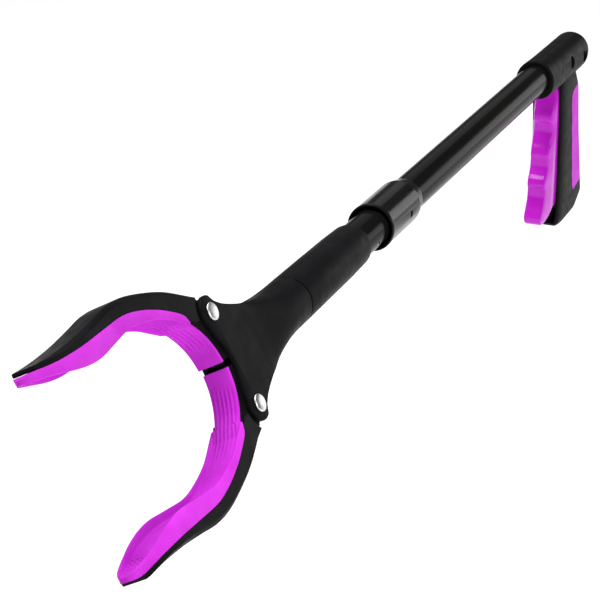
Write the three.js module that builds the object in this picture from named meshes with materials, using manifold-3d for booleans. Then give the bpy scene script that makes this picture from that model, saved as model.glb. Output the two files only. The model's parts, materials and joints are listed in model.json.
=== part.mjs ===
// A folding reacher grabber: pistol grip with a full-length trigger, a tube that folds at a locking
// sleeve, and a swivelling head whose two jaws are closed by an internal pull cable.
// Millimetres. The shaft frame has x = 0 at the back of the barrel, +X towards the jaws, +Z up and
// z = 0 on the tube's axis. The whole object is then moved so that its origin is the middle of the
// grip's flat base.
import * as THREE from 'three';
import { mergeVertices } from 'three/addons/utils/BufferGeometryUtils.js';
import Module from 'manifold-3d';

const wasm = await Module();
wasm.setup();

// ---------------------------------------------------------------- driving dimensions
const GAP = 0.3;                      // clearance between pieces that meet
const SPLIT = 0.15;                   // half the seam between two shells

const TUBE_R = 11.1;                  // 22.2 mm tube
const TUBE_WALL = 1.2;
const TUBE_BORE_R = TUBE_R - TUBE_WALL;

const BARREL_LENGTH = 108.5;
const BASE_Z = -128;                  // flat base of the grip
const BASE_FRONT_X = 58;
const BASE_BACK_X = 14;
const GRIP_HALF = 13;
const GRIP_WALL = 2.2;
const PAD_SKIN = 1.6;
const BAY_HALF = 9.7;                 // room for the trigger inside the housing

const TUBE_START_X = 80;
const BORE_END_X = 78.5;

const PIVOT = { x: 64, z: 8 };        // trigger pivot
const CABLE_LEVER = 17;               // pivot to cable anchor
const ANCHOR = { x: PIVOT.x, z: PIVOT.z - CABLE_LEVER };
const TRIGGER_HALF = 9;
const TRIGGER_FACE_HALF = 6.8;        // half width of the flat that the fingers pull
const TRIGGER_WALL = 2.2;

const FOLD = { x: 449, z: 9.2 };      // fold hinge axis
const HINGE_HEAD = 15;                // length of each hinge block outside its tube
const HINGE_PLUG = 26;
const HINGE_PLUG_R = 9.6;
const KNUCKLE_R = 2.3;
const HINGE_PIN_R = 1.2;
const FOLD_REST_GAP = 7;              // degrees, half the angle left between the folded halves

const SLEEVE = { back: 402.5, front: 462.5, r: 14.2, bore: 13.05, collar: 11.4 };

const CABLE_R = 0.75;
const CABLE_HOLE_R = 1.4;
const CABLE_FOLD_Z = 5.8;             // cable height where it crosses the fold
const BEND_HALF = 7.7;                // half length of the flexing stretch of cable

const NECK = { back: 494, seat: 516.5, seam: 588 };
const SPIGOT = { back: 562, r: 10.5, socket: 10.9, flange: 9.4, flangeX: 574, flangeWidth: 3 };

const HEAD_X = 676.4;                 // rivet line
const HEAD_TURN = 30;                 // degrees about +X at rest
const RIVET_P = 25;                   // rivets sit this far above and below the axis
const PLATE_HALF = 9.8;               // outside of the yoke plates
const SLOT_HALF = 7.6;                // inside of the yoke plates
const EAR_R = 8.7;
const ARM_HALF = 9.5;
const TAIL_HALF = 7.3;
const JAW_SPLAY = 1.7;                // degrees: how far the linkage's slack turns both jaws up
const CROSS_PIN = { x: -1.5, p: 7.5, r: 2 };
const CROSS_TRAVEL = 5.8;             // crosshead pull that closes the jaws

const PURPLE = 0xc22bd0;
const BLACK = 0x1b1b1e;

// ---------------------------------------------------------------- materials
const finish = (color, roughness, metalness) =>
  new THREE.MeshStandardMaterial({ color, roughness, metalness });
const blackPlastic = finish(BLACK, 0.55, 0);
const glossBlack = finish(0x141416, 0.25, 0.3);
const purpleRubber = finish(PURPLE, 0.55, 0);
const purplePlastic = finish(PURPLE, 0.25, 0);
const steel = finish(0xc9ccd0, 0.3, 1);

// ---------------------------------------------------------------- solids
function solid(geometry) {
  const bare = geometry.clone();
  for (const name of Object.keys(bare.attributes)) {
    if (name !== 'position') bare.deleteAttribute(name);
  }
  const merged = mergeVertices(bare, 1e-4);
  const index = merged.index.array;
  const kept = [];
  for (let i = 0; i < index.length; i += 3) {
    const [a, b, c] = [index[i], index[i + 1], index[i + 2]];
    if (a !== b && b !== c && c !== a) kept.push(a, b, c);
  }
  return new wasm.Manifold(new wasm.Mesh({
    numProp: 3,
    vertProperties: new Float32Array(merged.attributes.position.array),
    triVerts: new Uint32Array(kept),
  }));
}

function join(...solids) {
  return solids.reduce((sum, next) => sum.add(next));
}

function cut(body, ...tools) {
  return tools.reduce((rest, tool) => rest.subtract(tool), body);
}

function mesh(name, body, material) {
  const { vertProperties, triVerts } = body.getMesh();
  const geometry = new THREE.BufferGeometry();
  geometry.setAttribute('position', new THREE.BufferAttribute(new Float32Array(vertProperties), 3));
  geometry.setIndex(new THREE.BufferAttribute(new Uint32Array(triVerts), 1));
  geometry.computeVertexNormals();
  const result = new THREE.Mesh(geometry, material);
  result.name = name;
  return result;
}

const X = new THREE.Vector3(1, 0, 0);
const Y = new THREE.Vector3(0, 1, 0);
const Z = new THREE.Vector3(0, 0, 1);

function polygon(points) {
  return new THREE.Shape(points.map(([a, b]) => new THREE.Vector2(a, b)));
}

// A smooth line through the points, as a list of [a, b].
function smooth(points, steps) {
  const curve = new THREE.SplineCurve(points.map(([a, b]) => new THREE.Vector2(a, b)));
  return curve.getPoints(steps).map((v) => [v.x, v.y]);
}

function arc(x, z, r, from, to, steps) {
  return Array.from({ length: steps + 1 }, (_, i) => {
    const turn = THREE.MathUtils.degToRad(from + (to - from) * i / steps);
    return [x + r * Math.cos(turn), z + r * Math.sin(turn)];
  });
}

// The line moved sideways: to its left for a positive distance.
function offset(points, distance) {
  return points.map(([a, b], i) => {
    const before = points[Math.max(i - 1, 0)];
    const after = points[Math.min(i + 1, points.length - 1)];
    const run = [after[0] - before[0], after[1] - before[1]];
    const length = Math.hypot(run[0], run[1]);
    return [a - distance * run[1] / length, b + distance * run[0] / length];
  });
}

// The closed outline with every edge moved to its left by the distance.
function offsetLoop(points, distance) {
  const unit = ([ax, az], [bx, bz]) => {
    const length = Math.hypot(bx - ax, bz - az);
    return [(bx - ax) / length, (bz - az) / length];
  };
  return points.map((point, i) => {
    const into = unit(points[(i + points.length - 1) % points.length], point);
    const out = unit(point, points[(i + 1) % points.length]);
    const reach = distance / (1 + into[0] * out[0] + into[1] * out[1]);
    return [point[0] - reach * (into[1] + out[1]), point[1] + reach * (into[0] + out[0])];
  });
}

// An outline in the XZ plane, thick from y0 to y1.
function plate(outline, y0, y1) {
  const geometry = new THREE.ExtrudeGeometry(polygon(outline), { depth: y1 - y0, bevelEnabled: false });
  geometry.applyMatrix4(new THREE.Matrix4().makeBasis(X, Z, Y.clone().negate()));
  geometry.translate(0, y1, 0);
  return solid(geometry);
}

// An outline in the XY plane, tall from z0 to z1.
function prism(outline, z0, z1) {
  const geometry = new THREE.ExtrudeGeometry(polygon(outline), { depth: z1 - z0, bevelEnabled: false });
  geometry.translate(0, 0, z0);
  return solid(geometry);
}

// XZ outlines of equal count, each at its own y, skinned in order.
function stacked(layers) {
  const flat = ([outline]) => outline.map(([x, z]) => new THREE.Vector2(x, z));
  const clockwise = THREE.ShapeUtils.isClockWise(flat(layers[0]));
  const ordered = layers.map(([outline, y]) => [clockwise ? outline.slice().reverse() : outline, y]);
  const count = ordered[0][0].length;
  const positions = ordered.flatMap(([outline, y]) => outline.flatMap(([x, z]) => [x, y, z]));
  const index = [];
  for (let r = 0; r < ordered.length - 1; r += 1) {
    for (let i = 0; i < count; i += 1) {
      const a = r * count + i;
      const b = r * count + (i + 1) % count;
      index.push(a, b + count, b, a, a + count, b + count);
    }
  }
  const last = (ordered.length - 1) * count;
  for (const [a, b, c] of THREE.ShapeUtils.triangulateShape(flat(ordered[0]), [])) index.push(a, b, c);
  for (const [a, b, c] of THREE.ShapeUtils.triangulateShape(flat(ordered[ordered.length - 1]), [])) {
    index.push(last + a, last + c, last + b);
  }
  const geometry = new THREE.BufferGeometry();
  geometry.setAttribute('position', new THREE.Float32BufferAttribute(positions, 3));
  geometry.setIndex(index);
  return solid(geometry);
}

function box(x0, x1, y0, y1, z0, z1) {
  return plate([[x0, z0], [x1, z0], [x1, z1], [x0, z1]], y0, y1);
}

// A solid turned about the X axis from [x, r] points that start and end on it.
function turned(profile, segments = 32) {
  const points = profile.map(([x, r]) => new THREE.Vector2(r, x));
  const geometry = new THREE.LatheGeometry(points, segments);
  geometry.rotateZ(-Math.PI / 2);
  return solid(geometry);
}

function rod(x0, x1, r, segments = 32) {
  return turned([[x0, 0], [x0, r], [x1, r], [x1, 0]], segments);
}

// A solid turned about a line along Y through (x, z), from [y, r] points.
function turnedY(x, z, profile, segments = 20) {
  const points = profile.map(([y, r]) => new THREE.Vector2(r, y));
  const geometry = new THREE.LatheGeometry(points, segments);
  geometry.translate(x, 0, z);
  return solid(geometry);
}

function rodY(x, z, r, y0, y1, segments = 20) {
  return turnedY(x, z, [[y0, 0], [y0, r], [y1, r], [y1, 0]], segments);
}

// A rod between two points of the XZ plane at y = 0.
function slantedRod(from, to, r, segments = 10) {
  const run = new THREE.Vector3(to.x - from.x, 0, to.z - from.z);
  const length = run.length();
  const geometry = new THREE.CylinderGeometry(r, r, length, segments);
  geometry.translate(0, length / 2, 0);
  geometry.applyQuaternion(new THREE.Quaternion().setFromUnitVectors(Y, run.normalize()));
  geometry.translate(from.x, 0, from.z);
  return solid(geometry);
}

// Closed rings of equal count, skinned in order and capped at both ends.
function loft(rings) {
  const count = rings[0].length;
  const positions = rings.flat().flatMap((v) => [v.x, v.y, v.z]);
  const index = [];
  for (let r = 0; r < rings.length - 1; r += 1) {
    for (let i = 0; i < count; i += 1) {
      const a = r * count + i;
      const b = r * count + (i + 1) % count;
      index.push(a, b, b + count, a, b + count, a + count);
    }
  }
  const cap = (ring, flip) => {
    const middle = positions.length / 3;
    const centre = rings[ring].reduce((sum, v) => sum.add(v), new THREE.Vector3()).divideScalar(count);
    positions.push(centre.x, centre.y, centre.z);
    for (let i = 0; i < count; i += 1) {
      const a = ring * count + i;
      const b = ring * count + (i + 1) % count;
      index.push(middle, flip ? b : a, flip ? a : b);
    }
  };
  cap(0, true);
  cap(rings.length - 1, false);
  const geometry = new THREE.BufferGeometry();
  geometry.setAttribute('position', new THREE.Float32BufferAttribute(positions, 3));
  geometry.setIndex(index);
  return solid(geometry);
}

// Reads a table of [key, a, b, ...] rows at any key, straight between rows.
function between(rows, key) {
  const up = rows[0][0] < rows[rows.length - 1][0] ? 1 : -1;
  const next = rows.findIndex((row) => up * row[0] >= up * key);
  if (next === -1) return rows[rows.length - 1].slice(1);
  if (next === 0) return rows[0].slice(1);
  const [low, high] = [rows[next - 1], rows[next]];
  const t = (key - low[0]) / (high[0] - low[0]);
  return low.slice(1).map((value, i) => value + t * (high[i + 1] - value));
}

// Two halves of a body, left (+Y) and right (-Y), with a thin seam between them.
function halves(body, reach = 1000) {
  const left = body.intersect(box(-reach, reach, SPLIT, 60, -300, 300));
  const right = body.intersect(box(-reach, reach, -60, -SPLIT, -300, 300));
  return [left, right];
}

// ---------------------------------------------------------------- grip housing
// Barrel sections: [x, half width, top, bottom].
const BARREL = [
  [0, 11.4, 10.2, -13.6],
  [0.8, 12.9, 11.7, -15.2],
  [3, 14, 12.6, -16.3],
  [30, 14, 12.8, -16.5],
  [80, 14.1, 13.3, -16],
  [98, 14.2, 13.9, -15.2],
  [106.6, 14.3, 14.2, -14.5],
  [107.9, 14.1, 14, -14.2],
  [BARREL_LENGTH, 13.5, 13.4, -13.6],
];
const BARREL_MIDDLE_Z = -1;
const BARREL_FULLNESS = 2.4;          // exponent of the lower half; 2 would be round

function barrelRing([x, half, top, bottom], count = 36) {
  return Array.from({ length: count }, (_, i) => {
    const turn = 2 * Math.PI * i / count;
    const [c, s] = [Math.cos(turn), Math.sin(turn)];
    const power = s < 0 ? 2 / BARREL_FULLNESS : 1;
    const height = s < 0 ? BARREL_MIDDLE_Z - bottom : top - BARREL_MIDDLE_Z;
    return new THREE.Vector3(
      x,
      half * Math.sign(c) * Math.abs(c) ** power,
      BARREL_MIDDLE_Z + height * Math.sign(s) * Math.abs(s) ** power,
    );
  });
}

// Grip sections: [z, back x, front x, half width].
const GRIP = [
  [-3, 25, 70, 12],
  [-10, 23, 69.6, 12.8],
  [-17, 17.5, 68.7, GRIP_HALF],
  [-24, 11.8, 67.5, GRIP_HALF],
  [-34, 8.6, 65.2, GRIP_HALF],
  [-48, 5, 62.6, GRIP_HALF],
  [-66, -0.8, 60.6, GRIP_HALF],
  [-86, -8.2, 58.4, GRIP_HALF],
  [-104, -14.8, 57, GRIP_HALF],
  [-118, -19.6, 57.4, GRIP_HALF],
  [-125.5, -22.4, 61, GRIP_HALF],
  [BASE_Z, -22.4, BASE_FRONT_X, 12],
];
const GRIP_BACK_DEPTH = 14;           // how far the rounded back reaches forward
const GRIP_BACK_FULLNESS = 2.2;

function gripRing([z, back, front, half], inset) {
  const depth = GRIP_BACK_DEPTH - inset;
  const side = half - inset;
  const steps = 14;
  const round = Array.from({ length: steps + 1 }, (_, i) => {
    const turn = Math.PI / 2 + Math.PI * i / steps;
    const [c, s] = [Math.cos(turn), Math.sin(turn)];
    const power = 2 / GRIP_BACK_FULLNESS;
    return new THREE.Vector3(
      back + GRIP_BACK_DEPTH - depth * Math.abs(c) ** power,
      side * Math.sign(s) * Math.abs(s) ** power,
      z,
    );
  });
  const nose = front - inset;
  const tip = [[14, 0], [6, 0.6], [1.5, 1.6], [0, 2.7]].map(([along, inward]) =>
    new THREE.Vector3(nose - along, inward - side, z));
  tip.push(...tip.map(({ x, y }) => new THREE.Vector3(x, -y, z)).reverse());
  return [...round, ...tip];
}

function gripLoft(inset) {
  return loft(GRIP.map((row) => gripRing(row, inset)).reverse());
}

// Side outline that gives the grip its bevelled heel.
const HEEL = { x: -19.6, z: -109.5 };
const GRIP_OUTLINE = [
  [-60, 0], [-60, HEEL.z + 6], [HEEL.x, HEEL.z], [HEEL.x + 3, HEEL.z - 3.4],
  [BASE_BACK_X, BASE_Z], [BASE_BACK_X, BASE_Z - 5], [90, BASE_Z - 5], [90, 0],
];

// Side outline of the palm pad.
const PAD_REGION = [[-40, -18.5], [12, -18.5], [41, -25], [19, -110.5], [-17, -104.5], [-40, -101]];

// Where the trigger swings inside the housing.
const TRIGGER_BAY = [
  [77, 2], [77, -17.2], [95, -17.2], [95, BASE_Z + 3.2], [23, BASE_Z + 3.2], [16.5, -100],
  [28, -60], [33, -30], [38, -14], [43, 2],
];
const WEB = 2.2;                      // wall between the trigger bay and the hollow back

const SIDE_SCREWS = [{ x: 50, z: 1 }, { x: 9.6, z: -4 }];
const HEEL_SCREW = { x: 9.5, z: -116.4 };
const SIDE_RECESS = { r: 4.6, floor: 8.5 };
const HEEL_RECESS = { r: 3.1, floor: 8.2 };

function backHollow() {
  const front = TRIGGER_BAY.slice(5, 9).map(([x, z]) => [x - WEB, z]);
  const outline = [[-40, -108], [front[0][0], -108], ...front, [-40, -14]];
  return gripLoft(PAD_SKIN + GAP + GRIP_WALL).intersect(plate(outline, -20, 20));
}

function screwSeats() {
  const side = SIDE_SCREWS.flatMap(({ x, z }) => [
    rodY(x, z, SIDE_RECESS.r, SIDE_RECESS.floor, 20),
    rodY(x, z, 1.65, -9.2, 20, 12),
  ]);
  const heel = [
    rodY(HEEL_SCREW.x, HEEL_SCREW.z, HEEL_RECESS.r, -20, -HEEL_RECESS.floor),
    rodY(HEEL_SCREW.x, HEEL_SCREW.z, 1.65, -20, 8.4, 12),
  ];
  return [...side, ...heel];
}

function gripShells() {
  const grip = gripLoft(0).intersect(plate(GRIP_OUTLINE, -30, 30));
  const padSpace = plate(offsetLoop(PAD_REGION, GAP), -30, 30).subtract(gripLoft(PAD_SKIN + GAP));
  const barrel = loft(BARREL.map((row) => barrelRing(row)));
  const [screw] = SIDE_SCREWS;
  const bosses = [
    rodY(screw.x, screw.z, 6.4, 7, 14).intersect(barrel),
    rodY(screw.x, screw.z, 6.4, -14, -7).intersect(barrel),
    rodY(screw.x, screw.z, 3, -8, 8),
  ];
  const hubPocket = box(PIVOT.x - 6, PIVOT.x + 5, -4.5, 4.5, 0, PIVOT.z + 3.7);
  const labelPanel = [box(14, 43, 13.4, 20, -9, 2.4), box(14, 43, -20, -13.4, -9, 2.4)];
  const housing = cut(
    join(cut(join(grip, barrel).subtract(padSpace), rod(22, BORE_END_X, 10.2), backHollow()), ...bosses),
    cut(plate(TRIGGER_BAY, -BAY_HALF, BAY_HALF), ...bosses),
    rod(BORE_END_X, 120, TUBE_R + 0.3),
    hubPocket,
    rodY(PIVOT.x, PIVOT.z, 1.8, -9.3, 9.3, 16),
    ...labelPanel,
    ...screwSeats(),
  );
  const [left, right] = halves(housing);
  return [mesh('grip_shell_left', left, blackPlastic), mesh('grip_shell_right', right, blackPlastic)];
}

function palmPad() {
  const skin = gripLoft(0).subtract(gripLoft(PAD_SKIN));
  return mesh('palm_pad', skin.intersect(plate(PAD_REGION, -30, 30)), purpleRubber);
}

// A screw along Y. side is +1 when its head faces +Y.
function screwY(name, { x, z }, side, seat, headR, headH, shankR, tip) {
  const profile = [
    [side * tip, 0], [side * tip, shankR], [side * (seat + GAP), shankR], [side * (seat + GAP), headR],
    [side * (seat + GAP + headH * 0.6), headR], [side * (seat + GAP + headH), headR * 0.7],
    [side * (seat + GAP + headH), 0],
  ];
  if (side < 0) profile.reverse();
  return mesh(name, turnedY(x, z, profile, 12), steel);
}

function gripScrews() {
  return [
    ...SIDE_SCREWS.map((at, i) =>
      screwY(`grip_side_screw_${i + 1}`, at, 1, SIDE_RECESS.floor, 3.1, 2, 1.3, -8.8)),
    screwY('grip_heel_screw', HEEL_SCREW, -1, HEEL_RECESS.floor, 2.7, 1.7, 1.3, -8),
  ];
}

// ---------------------------------------------------------------- trigger
// Front of the trigger from top to bottom, [z, x]: four finger hollows between rounded ridges.
const FINGER_LINE = [
  [-15, 69.6], [-22, 70.6], [-30, 73.2], [-35.5, 76], [-38.5, 76.2], [-43, 73.6], [-48, 73.1],
  [-56, 75.6], [-62.5, 79.4], [-65.5, 80], [-69, 78.6], [-74, 78.4], [-80, 80.8], [-85, 84.4],
  [-88, 84.8], [-92, 82.9], [-97, 82.7], [-104, 85], [-110, 88.6], [-113.5, 89.6], [-116.5, 88.8],
  [-119, 86.2], [-120.4, 82],
];
// From top to bottom, [z, where the chamfer meets the flank, back of the flank].
const TRIGGER_FLANK = [[-15, 66.4, 50], [-30, 69.6, 51], [-48, 69.2, 52.2], [-66, 71.2, 53.5], [-110, 70.4, 56.5],
  [-120.4, 73, 57.2]];

function triggerRing([z, front], inset, reachBack) {
  const half = TRIGGER_HALF - inset;
  const face = TRIGGER_FACE_HALF - inset * 0.6;
  const nose = front - inset * 1.1;
  const [edge, back] = between(TRIGGER_FLANK, z);
  const flank = edge - inset;
  const rear = back - reachBack;
  const outline = [[rear, -half], [flank, -half], [nose, -face], [nose, face], [flank, half], [rear, half]];
  return outline.map(([x, y]) => new THREE.Vector3(x, y, z));
}

function trigger() {
  const rings = (inset, reachBack) =>
    loft(FINGER_LINE.map((row) => triggerRing(row, inset, reachBack)).reverse());
  const hollow = rings(TRIGGER_WALL, 10).intersect(box(0, 120, -20, 20, -119, -19.5));
  const heelCut = plate([[40, -140], [40, -109], [66, -110.5], [84, -121], [90, -140]], -20, 20);
  const arm = plate([
    [57, -17], [58.4, -4], ...arc(PIVOT.x, PIVOT.z, 3.2, 190, -10, 10), [69.4, -4], [70, -17],
  ], -4.2, 4.2);
  const bottomWeb = plate([[66, -113], [66, -107.5], [86, -117.6], [86, -119.6]], -8, 8);
  const shell = rings(0, 0).subtract(hollow);
  const rib = box(54, 76, -1, 1, -112, -18).intersect(rings(1, 0));
  const body = cut(
    join(shell, arm, rib, bottomWeb.intersect(rings(0.5, 0))),
    heelCut,
    rodY(PIVOT.x, PIVOT.z, 1.8, -10, 10, 16),
    rodY(ANCHOR.x, ANCHOR.z, 2.3, -10, 10, 16),
    box(ANCHOR.x, 90, -1.25, 1.25, ANCHOR.z - 2.2, ANCHOR.z + 4),
  );
  return mesh('trigger', body, purplePlastic);
}

// ---------------------------------------------------------------- tubes, fold and sleeve
function tube(name, x0, x1, ...holes) {
  const body = cut(rod(x0, x1, TUBE_R), rod(x0 - 1, x1 + 1, TUBE_BORE_R), ...holes);
  return mesh(name, body, glossBlack);
}

const REAR_PLUG_PIN = { x: FOLD.x - HINGE_HEAD - 13, z: -3 };
const FRONT_PLUG_PIN = { x: FOLD.x + HINGE_HEAD + 13, z: -3 };
const PLUG_PIN_R = 1.2;
const plugPinHole = ({ x, z }) => rodY(x, z, PLUG_PIN_R + GAP, -20, 20, 12);

function plugPin(name, { x, z }) {
  return mesh(name, rodY(x, z, PLUG_PIN_R, -10.2, 10.2, 12), steel);
}

const NECK_SCREW_X = 505;
const neckScrewHole = rodZ(NECK_SCREW_X, 1.5, -20, -8);

function rodZ(x, r, z0, z1, segments = 12) {
  const geometry = new THREE.CylinderGeometry(r, r, z1 - z0, segments);
  geometry.rotateX(Math.PI / 2);
  geometry.translate(x, 0, (z0 + z1) / 2);
  return solid(geometry);
}

// The cable runs from the trigger to the fold, then from the fold to the crosshead on the axis.
const CABLE_END = { x: HEAD_X - 16.6, z: 0 };
const cableRearZ = (x) => ANCHOR.z + (CABLE_FOLD_Z - ANCHOR.z) * (x - ANCHOR.x) / (FOLD.x - ANCHOR.x);
const cableFrontZ = (x) => CABLE_FOLD_Z * (CABLE_END.x - x) / (CABLE_END.x - FOLD.x);
const rearPoint = (x) => ({ x, z: cableRearZ(x) });
const frontPoint = (x) => ({ x, z: cableFrontZ(x) });

// One hinge block: a plug inside its tube and a head outside it, cut below the folding line.
function hingeBlock(side) {
  const at = (distance) => FOLD.x + side * distance;
  const [face, shoulder, end] = [at(0.15), at(HINGE_HEAD - GAP), at(HINGE_HEAD + HINGE_PLUG)];
  const span = (a, b, r) => rod(Math.min(a, b), Math.max(a, b), r);
  const slope = Math.tan(THREE.MathUtils.degToRad(FOLD_REST_GAP));
  const over = plate([
    [at(-1), FOLD.z - 0.35], [at(0), FOLD.z - 0.35], [at(20), FOLD.z - 0.35 + 20 * slope], [at(20), 30],
    [at(-1), 30],
  ], -20, 20);
  return cut(join(span(face, shoulder, 11), span(face, end, HINGE_PLUG_R)), over);
}

function knuckle(y0, y1, side) {
  const foot = plate([
    [FOLD.x + side * 0.15, FOLD.z - 5], [FOLD.x + side * 5, FOLD.z - 5],
    [FOLD.x + side * 5, FOLD.z - 0.5], [FOLD.x + side * 2, FOLD.z + 0.5], [FOLD.x + side * 0.15, FOLD.z],
  ], y0, y1);
  return join(rodY(FOLD.x, FOLD.z, KNUCKLE_R, y0, y1, 20), foot);
}

function foldHinge() {
  const pinHole = rodY(FOLD.x, FOLD.z, HINGE_PIN_R + GAP, -12, 12, 16);
  const round = (y0, y1) => rodY(FOLD.x, FOLD.z, KNUCKLE_R + GAP, y0, y1, 20);
  const rear = cut(
    join(cut(hingeBlock(-1), round(-2.2, 2.2)), knuckle(2.2, 5.4, -1), knuckle(-5.4, -2.2, -1)),
    pinHole,
    slantedRod(rearPoint(FOLD.x - 60), rearPoint(FOLD.x + 5), CABLE_HOLE_R),
    plugPinHole(REAR_PLUG_PIN),
  );
  const front = cut(
    join(cut(hingeBlock(1), round(1.9, 5.7), round(-5.7, -1.9)), knuckle(-1.9, 1.9, 1)),
    pinHole,
    slantedRod(frontPoint(FOLD.x - 5), frontPoint(FOLD.x + 60), CABLE_HOLE_R),
    plugPinHole(FRONT_PLUG_PIN),
  );
  return {
    rear: mesh('fold_hinge_rear', rear, blackPlastic),
    front: mesh('fold_hinge_front', front, blackPlastic),
    pin: mesh('fold_hinge_pin', rodY(FOLD.x, FOLD.z, HINGE_PIN_R, -5.3, 5.3, 16), steel),
  };
}

function lockSleeve() {
  const { back, front, r, bore, collar } = SLEEVE;
  const outer = turned([
    [back, 0], [back, 11.8], [back + 0.6, 12.1], [back + 9.5, 13.7], [back + 11, 14], [front - 4, 14],
    [front - 3, r], [front - 0.6, r], [front, r - 0.5], [front, 0],
  ]);
  const inner = turned([
    [back - 1, 0], [back - 1, collar], [back + 13, collar], [back + 15, bore], [front + 1, bore], [front + 1, 0],
  ]);
  const window = box(427.3, 430.7, 10, 20, -1.6, 2.2);
  return mesh('lock_sleeve', cut(outer, inner, window), glossBlack);
}

function cables() {
  const bendStart = FOLD.x - BEND_HALF;
  const bendEnd = FOLD.x + BEND_HALF;
  const path = new THREE.CatmullRomCurve3([
    rearPoint(bendStart), rearPoint(FOLD.x - 2.5), frontPoint(FOLD.x + 2.5), frontPoint(bendEnd),
  ].map(({ x, z }) => new THREE.Vector3(x, 0, z)));
  const section = new THREE.Shape();
  section.absarc(0, 0, CABLE_R, 0, 2 * Math.PI);
  const bend = new THREE.ExtrudeGeometry(section, { steps: 8, curveSegments: 4, extrudePath: path });
  return {
    rear: mesh('pull_cable_rear', slantedRod(rearPoint(ANCHOR.x + 2.4), rearPoint(bendStart - GAP), CABLE_R), steel),
    bend: mesh('pull_cable_bend', solid(bend), steel),
    front: mesh('pull_cable_front', slantedRod(frontPoint(bendEnd + GAP), CABLE_END, CABLE_R), steel),
  };
}

// ---------------------------------------------------------------- neck
function neckCollar() {
  const { back, seat, seam } = NECK;
  const outer = turned([
    [back, 0], [back, 11.8], [back + 0.6, 12.3], [back + 2.4, 12.7], [back + 24, 13.3], [back + 56, 13.6],
    [seam - GAP, 13.9], [seam - GAP, 0],
  ]);
  const flangeEnd = SPIGOT.flangeX + SPIGOT.flangeWidth;
  const inner = turned([
    [back - 1, 0], [back - 1, TUBE_R + 0.3], [seat, TUBE_R + 0.3], [seat, 9], [SPIGOT.back - 1, 9],
    [SPIGOT.back - 1, SPIGOT.socket], [SPIGOT.flangeX, SPIGOT.socket], [SPIGOT.flangeX, SPIGOT.flange],
    [flangeEnd, SPIGOT.flange], [flangeEnd, SPIGOT.socket], [seam + 1, SPIGOT.socket], [seam + 1, 0],
  ]);
  return mesh('neck_collar', cut(outer, inner, neckScrewHole), blackPlastic);
}

function neckScrew() {
  return mesh('neck_screw', rodZ(NECK_SCREW_X, 1.2, -12.7, -8.6), steel);
}

// ---------------------------------------------------------------- head
// In the head's own frame x is measured from the rivet line, y is the plate normal and z runs across
// the jaws. The head group is then turned about X.

// Yoke body sections behind the plates: [x, half height, half thickness, fullness].
const YOKE = [
  [-88, 13.9, 13.9, 2],
  [-76, 14, 13.8, 2],
  [-64, 14.3, 13.1, 2.3],
  [-52, 15.4, 12, 3],
  [-42, 17, 11, 4],
  [-32, 20, 10.2, 6],
  [-22, 26, PLATE_HALF, 12],
  [12, 42, PLATE_HALF, 40],
];

function yokeRing([x, high, thick, fullness], count = 40) {
  return Array.from({ length: count }, (_, i) => {
    const turn = 2 * Math.PI * (i + 0.5) / count;
    const [c, s] = [Math.cos(turn), Math.sin(turn)];
    const power = 2 / fullness;
    return new THREE.Vector3(
      x, thick * Math.sign(c) * Math.abs(c) ** power, high * Math.sign(s) * Math.abs(s) ** power,
    );
  });
}

const YOKE_TOP = [
  [-88, 13.9], [-72, 14], [-58, 14.4], [-44, 16], [-30, 18.6], [-20, 21.9], [-12, 25.4], [-6.2, 29.2],
];
const YOKE_MOUTH = [[6.4, 15.4], [4.2, 9.6], [2.4, 4.4], [1.7, 0]];

function mirrored(points) {
  return points.map(([x, z]) => [x, -z]).reverse();
}

function yokeOutline() {
  const rear = smooth(YOKE_TOP, 14);
  const ear = arc(0, RIVET_P, EAR_R, 118, -24, 14);
  const mouth = smooth([ear[ear.length - 1], ...YOKE_MOUTH], 10);
  const upper = [...rear.slice(0, -1), ...ear, ...mouth.slice(1, -1)];
  return [...upper, [YOKE_MOUTH[3][0], 0], ...mirrored(upper)].reverse();
}

const YOKE_WALL = 2.4;
const SHELL_SCREWS = [{ x: -32, z: 11.6 }, { x: -32, z: -11.6 }];
const SHELL_SEAT = 7.4;

// Everything hollow in the head: the jaw slot, the crosshead's run, the spring's bore and the cable's.
function yokeHollows() {
  const side = offset(smooth(YOKE_TOP, 14), -YOKE_WALL).filter(([x]) => x > -24 && x < -9);
  const slot = [[-24, 8], ...side, [-9, 60], [30, 60]];
  return [
    plate([...slot, ...mirrored(slot)].reverse(), -SLOT_HALF, SLOT_HALF),
    box(-37, -20, -5.6, 5.6, -7.6, 7.6),
    rod(-62, -20, 6.8, 24),
    rod(-120, -60, 3, 20),
    rod(-120, -66, 6.4, 24),
  ];
}

function spigot() {
  const from = SPIGOT.back - HEAD_X;
  const groove = SPIGOT.flangeX - GAP - HEAD_X;
  const ringX = from + 4;
  return turned([
    [from, 0], [from, SPIGOT.r], [ringX, SPIGOT.r], [ringX, SPIGOT.r - 1.5], [ringX + 3, SPIGOT.r - 1.5],
    [ringX + 3, SPIGOT.r], [groove, SPIGOT.r], [groove, SPIGOT.flange - GAP],
    [groove + SPIGOT.flangeWidth + 2 * GAP, SPIGOT.flange - GAP],
    [groove + SPIGOT.flangeWidth + 2 * GAP, SPIGOT.r], [-80, SPIGOT.r], [-80, 0],
  ]);
}

function swivelRing() {
  const x = SPIGOT.back - HEAD_X + 5.5;
  const mid = SPIGOT.r - 0.45;
  const section = arc(x, mid, 0.7, 0, 360, 6).slice(0, -1);
  const geometry = new THREE.LatheGeometry(
    [...section, section[0]].reverse().map(([a, r]) => new THREE.Vector2(r, a)), 24);
  geometry.rotateZ(-Math.PI / 2);
  return mesh('swivel_ring', solid(geometry), finish(0x222222, 0.8, 0));
}

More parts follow.
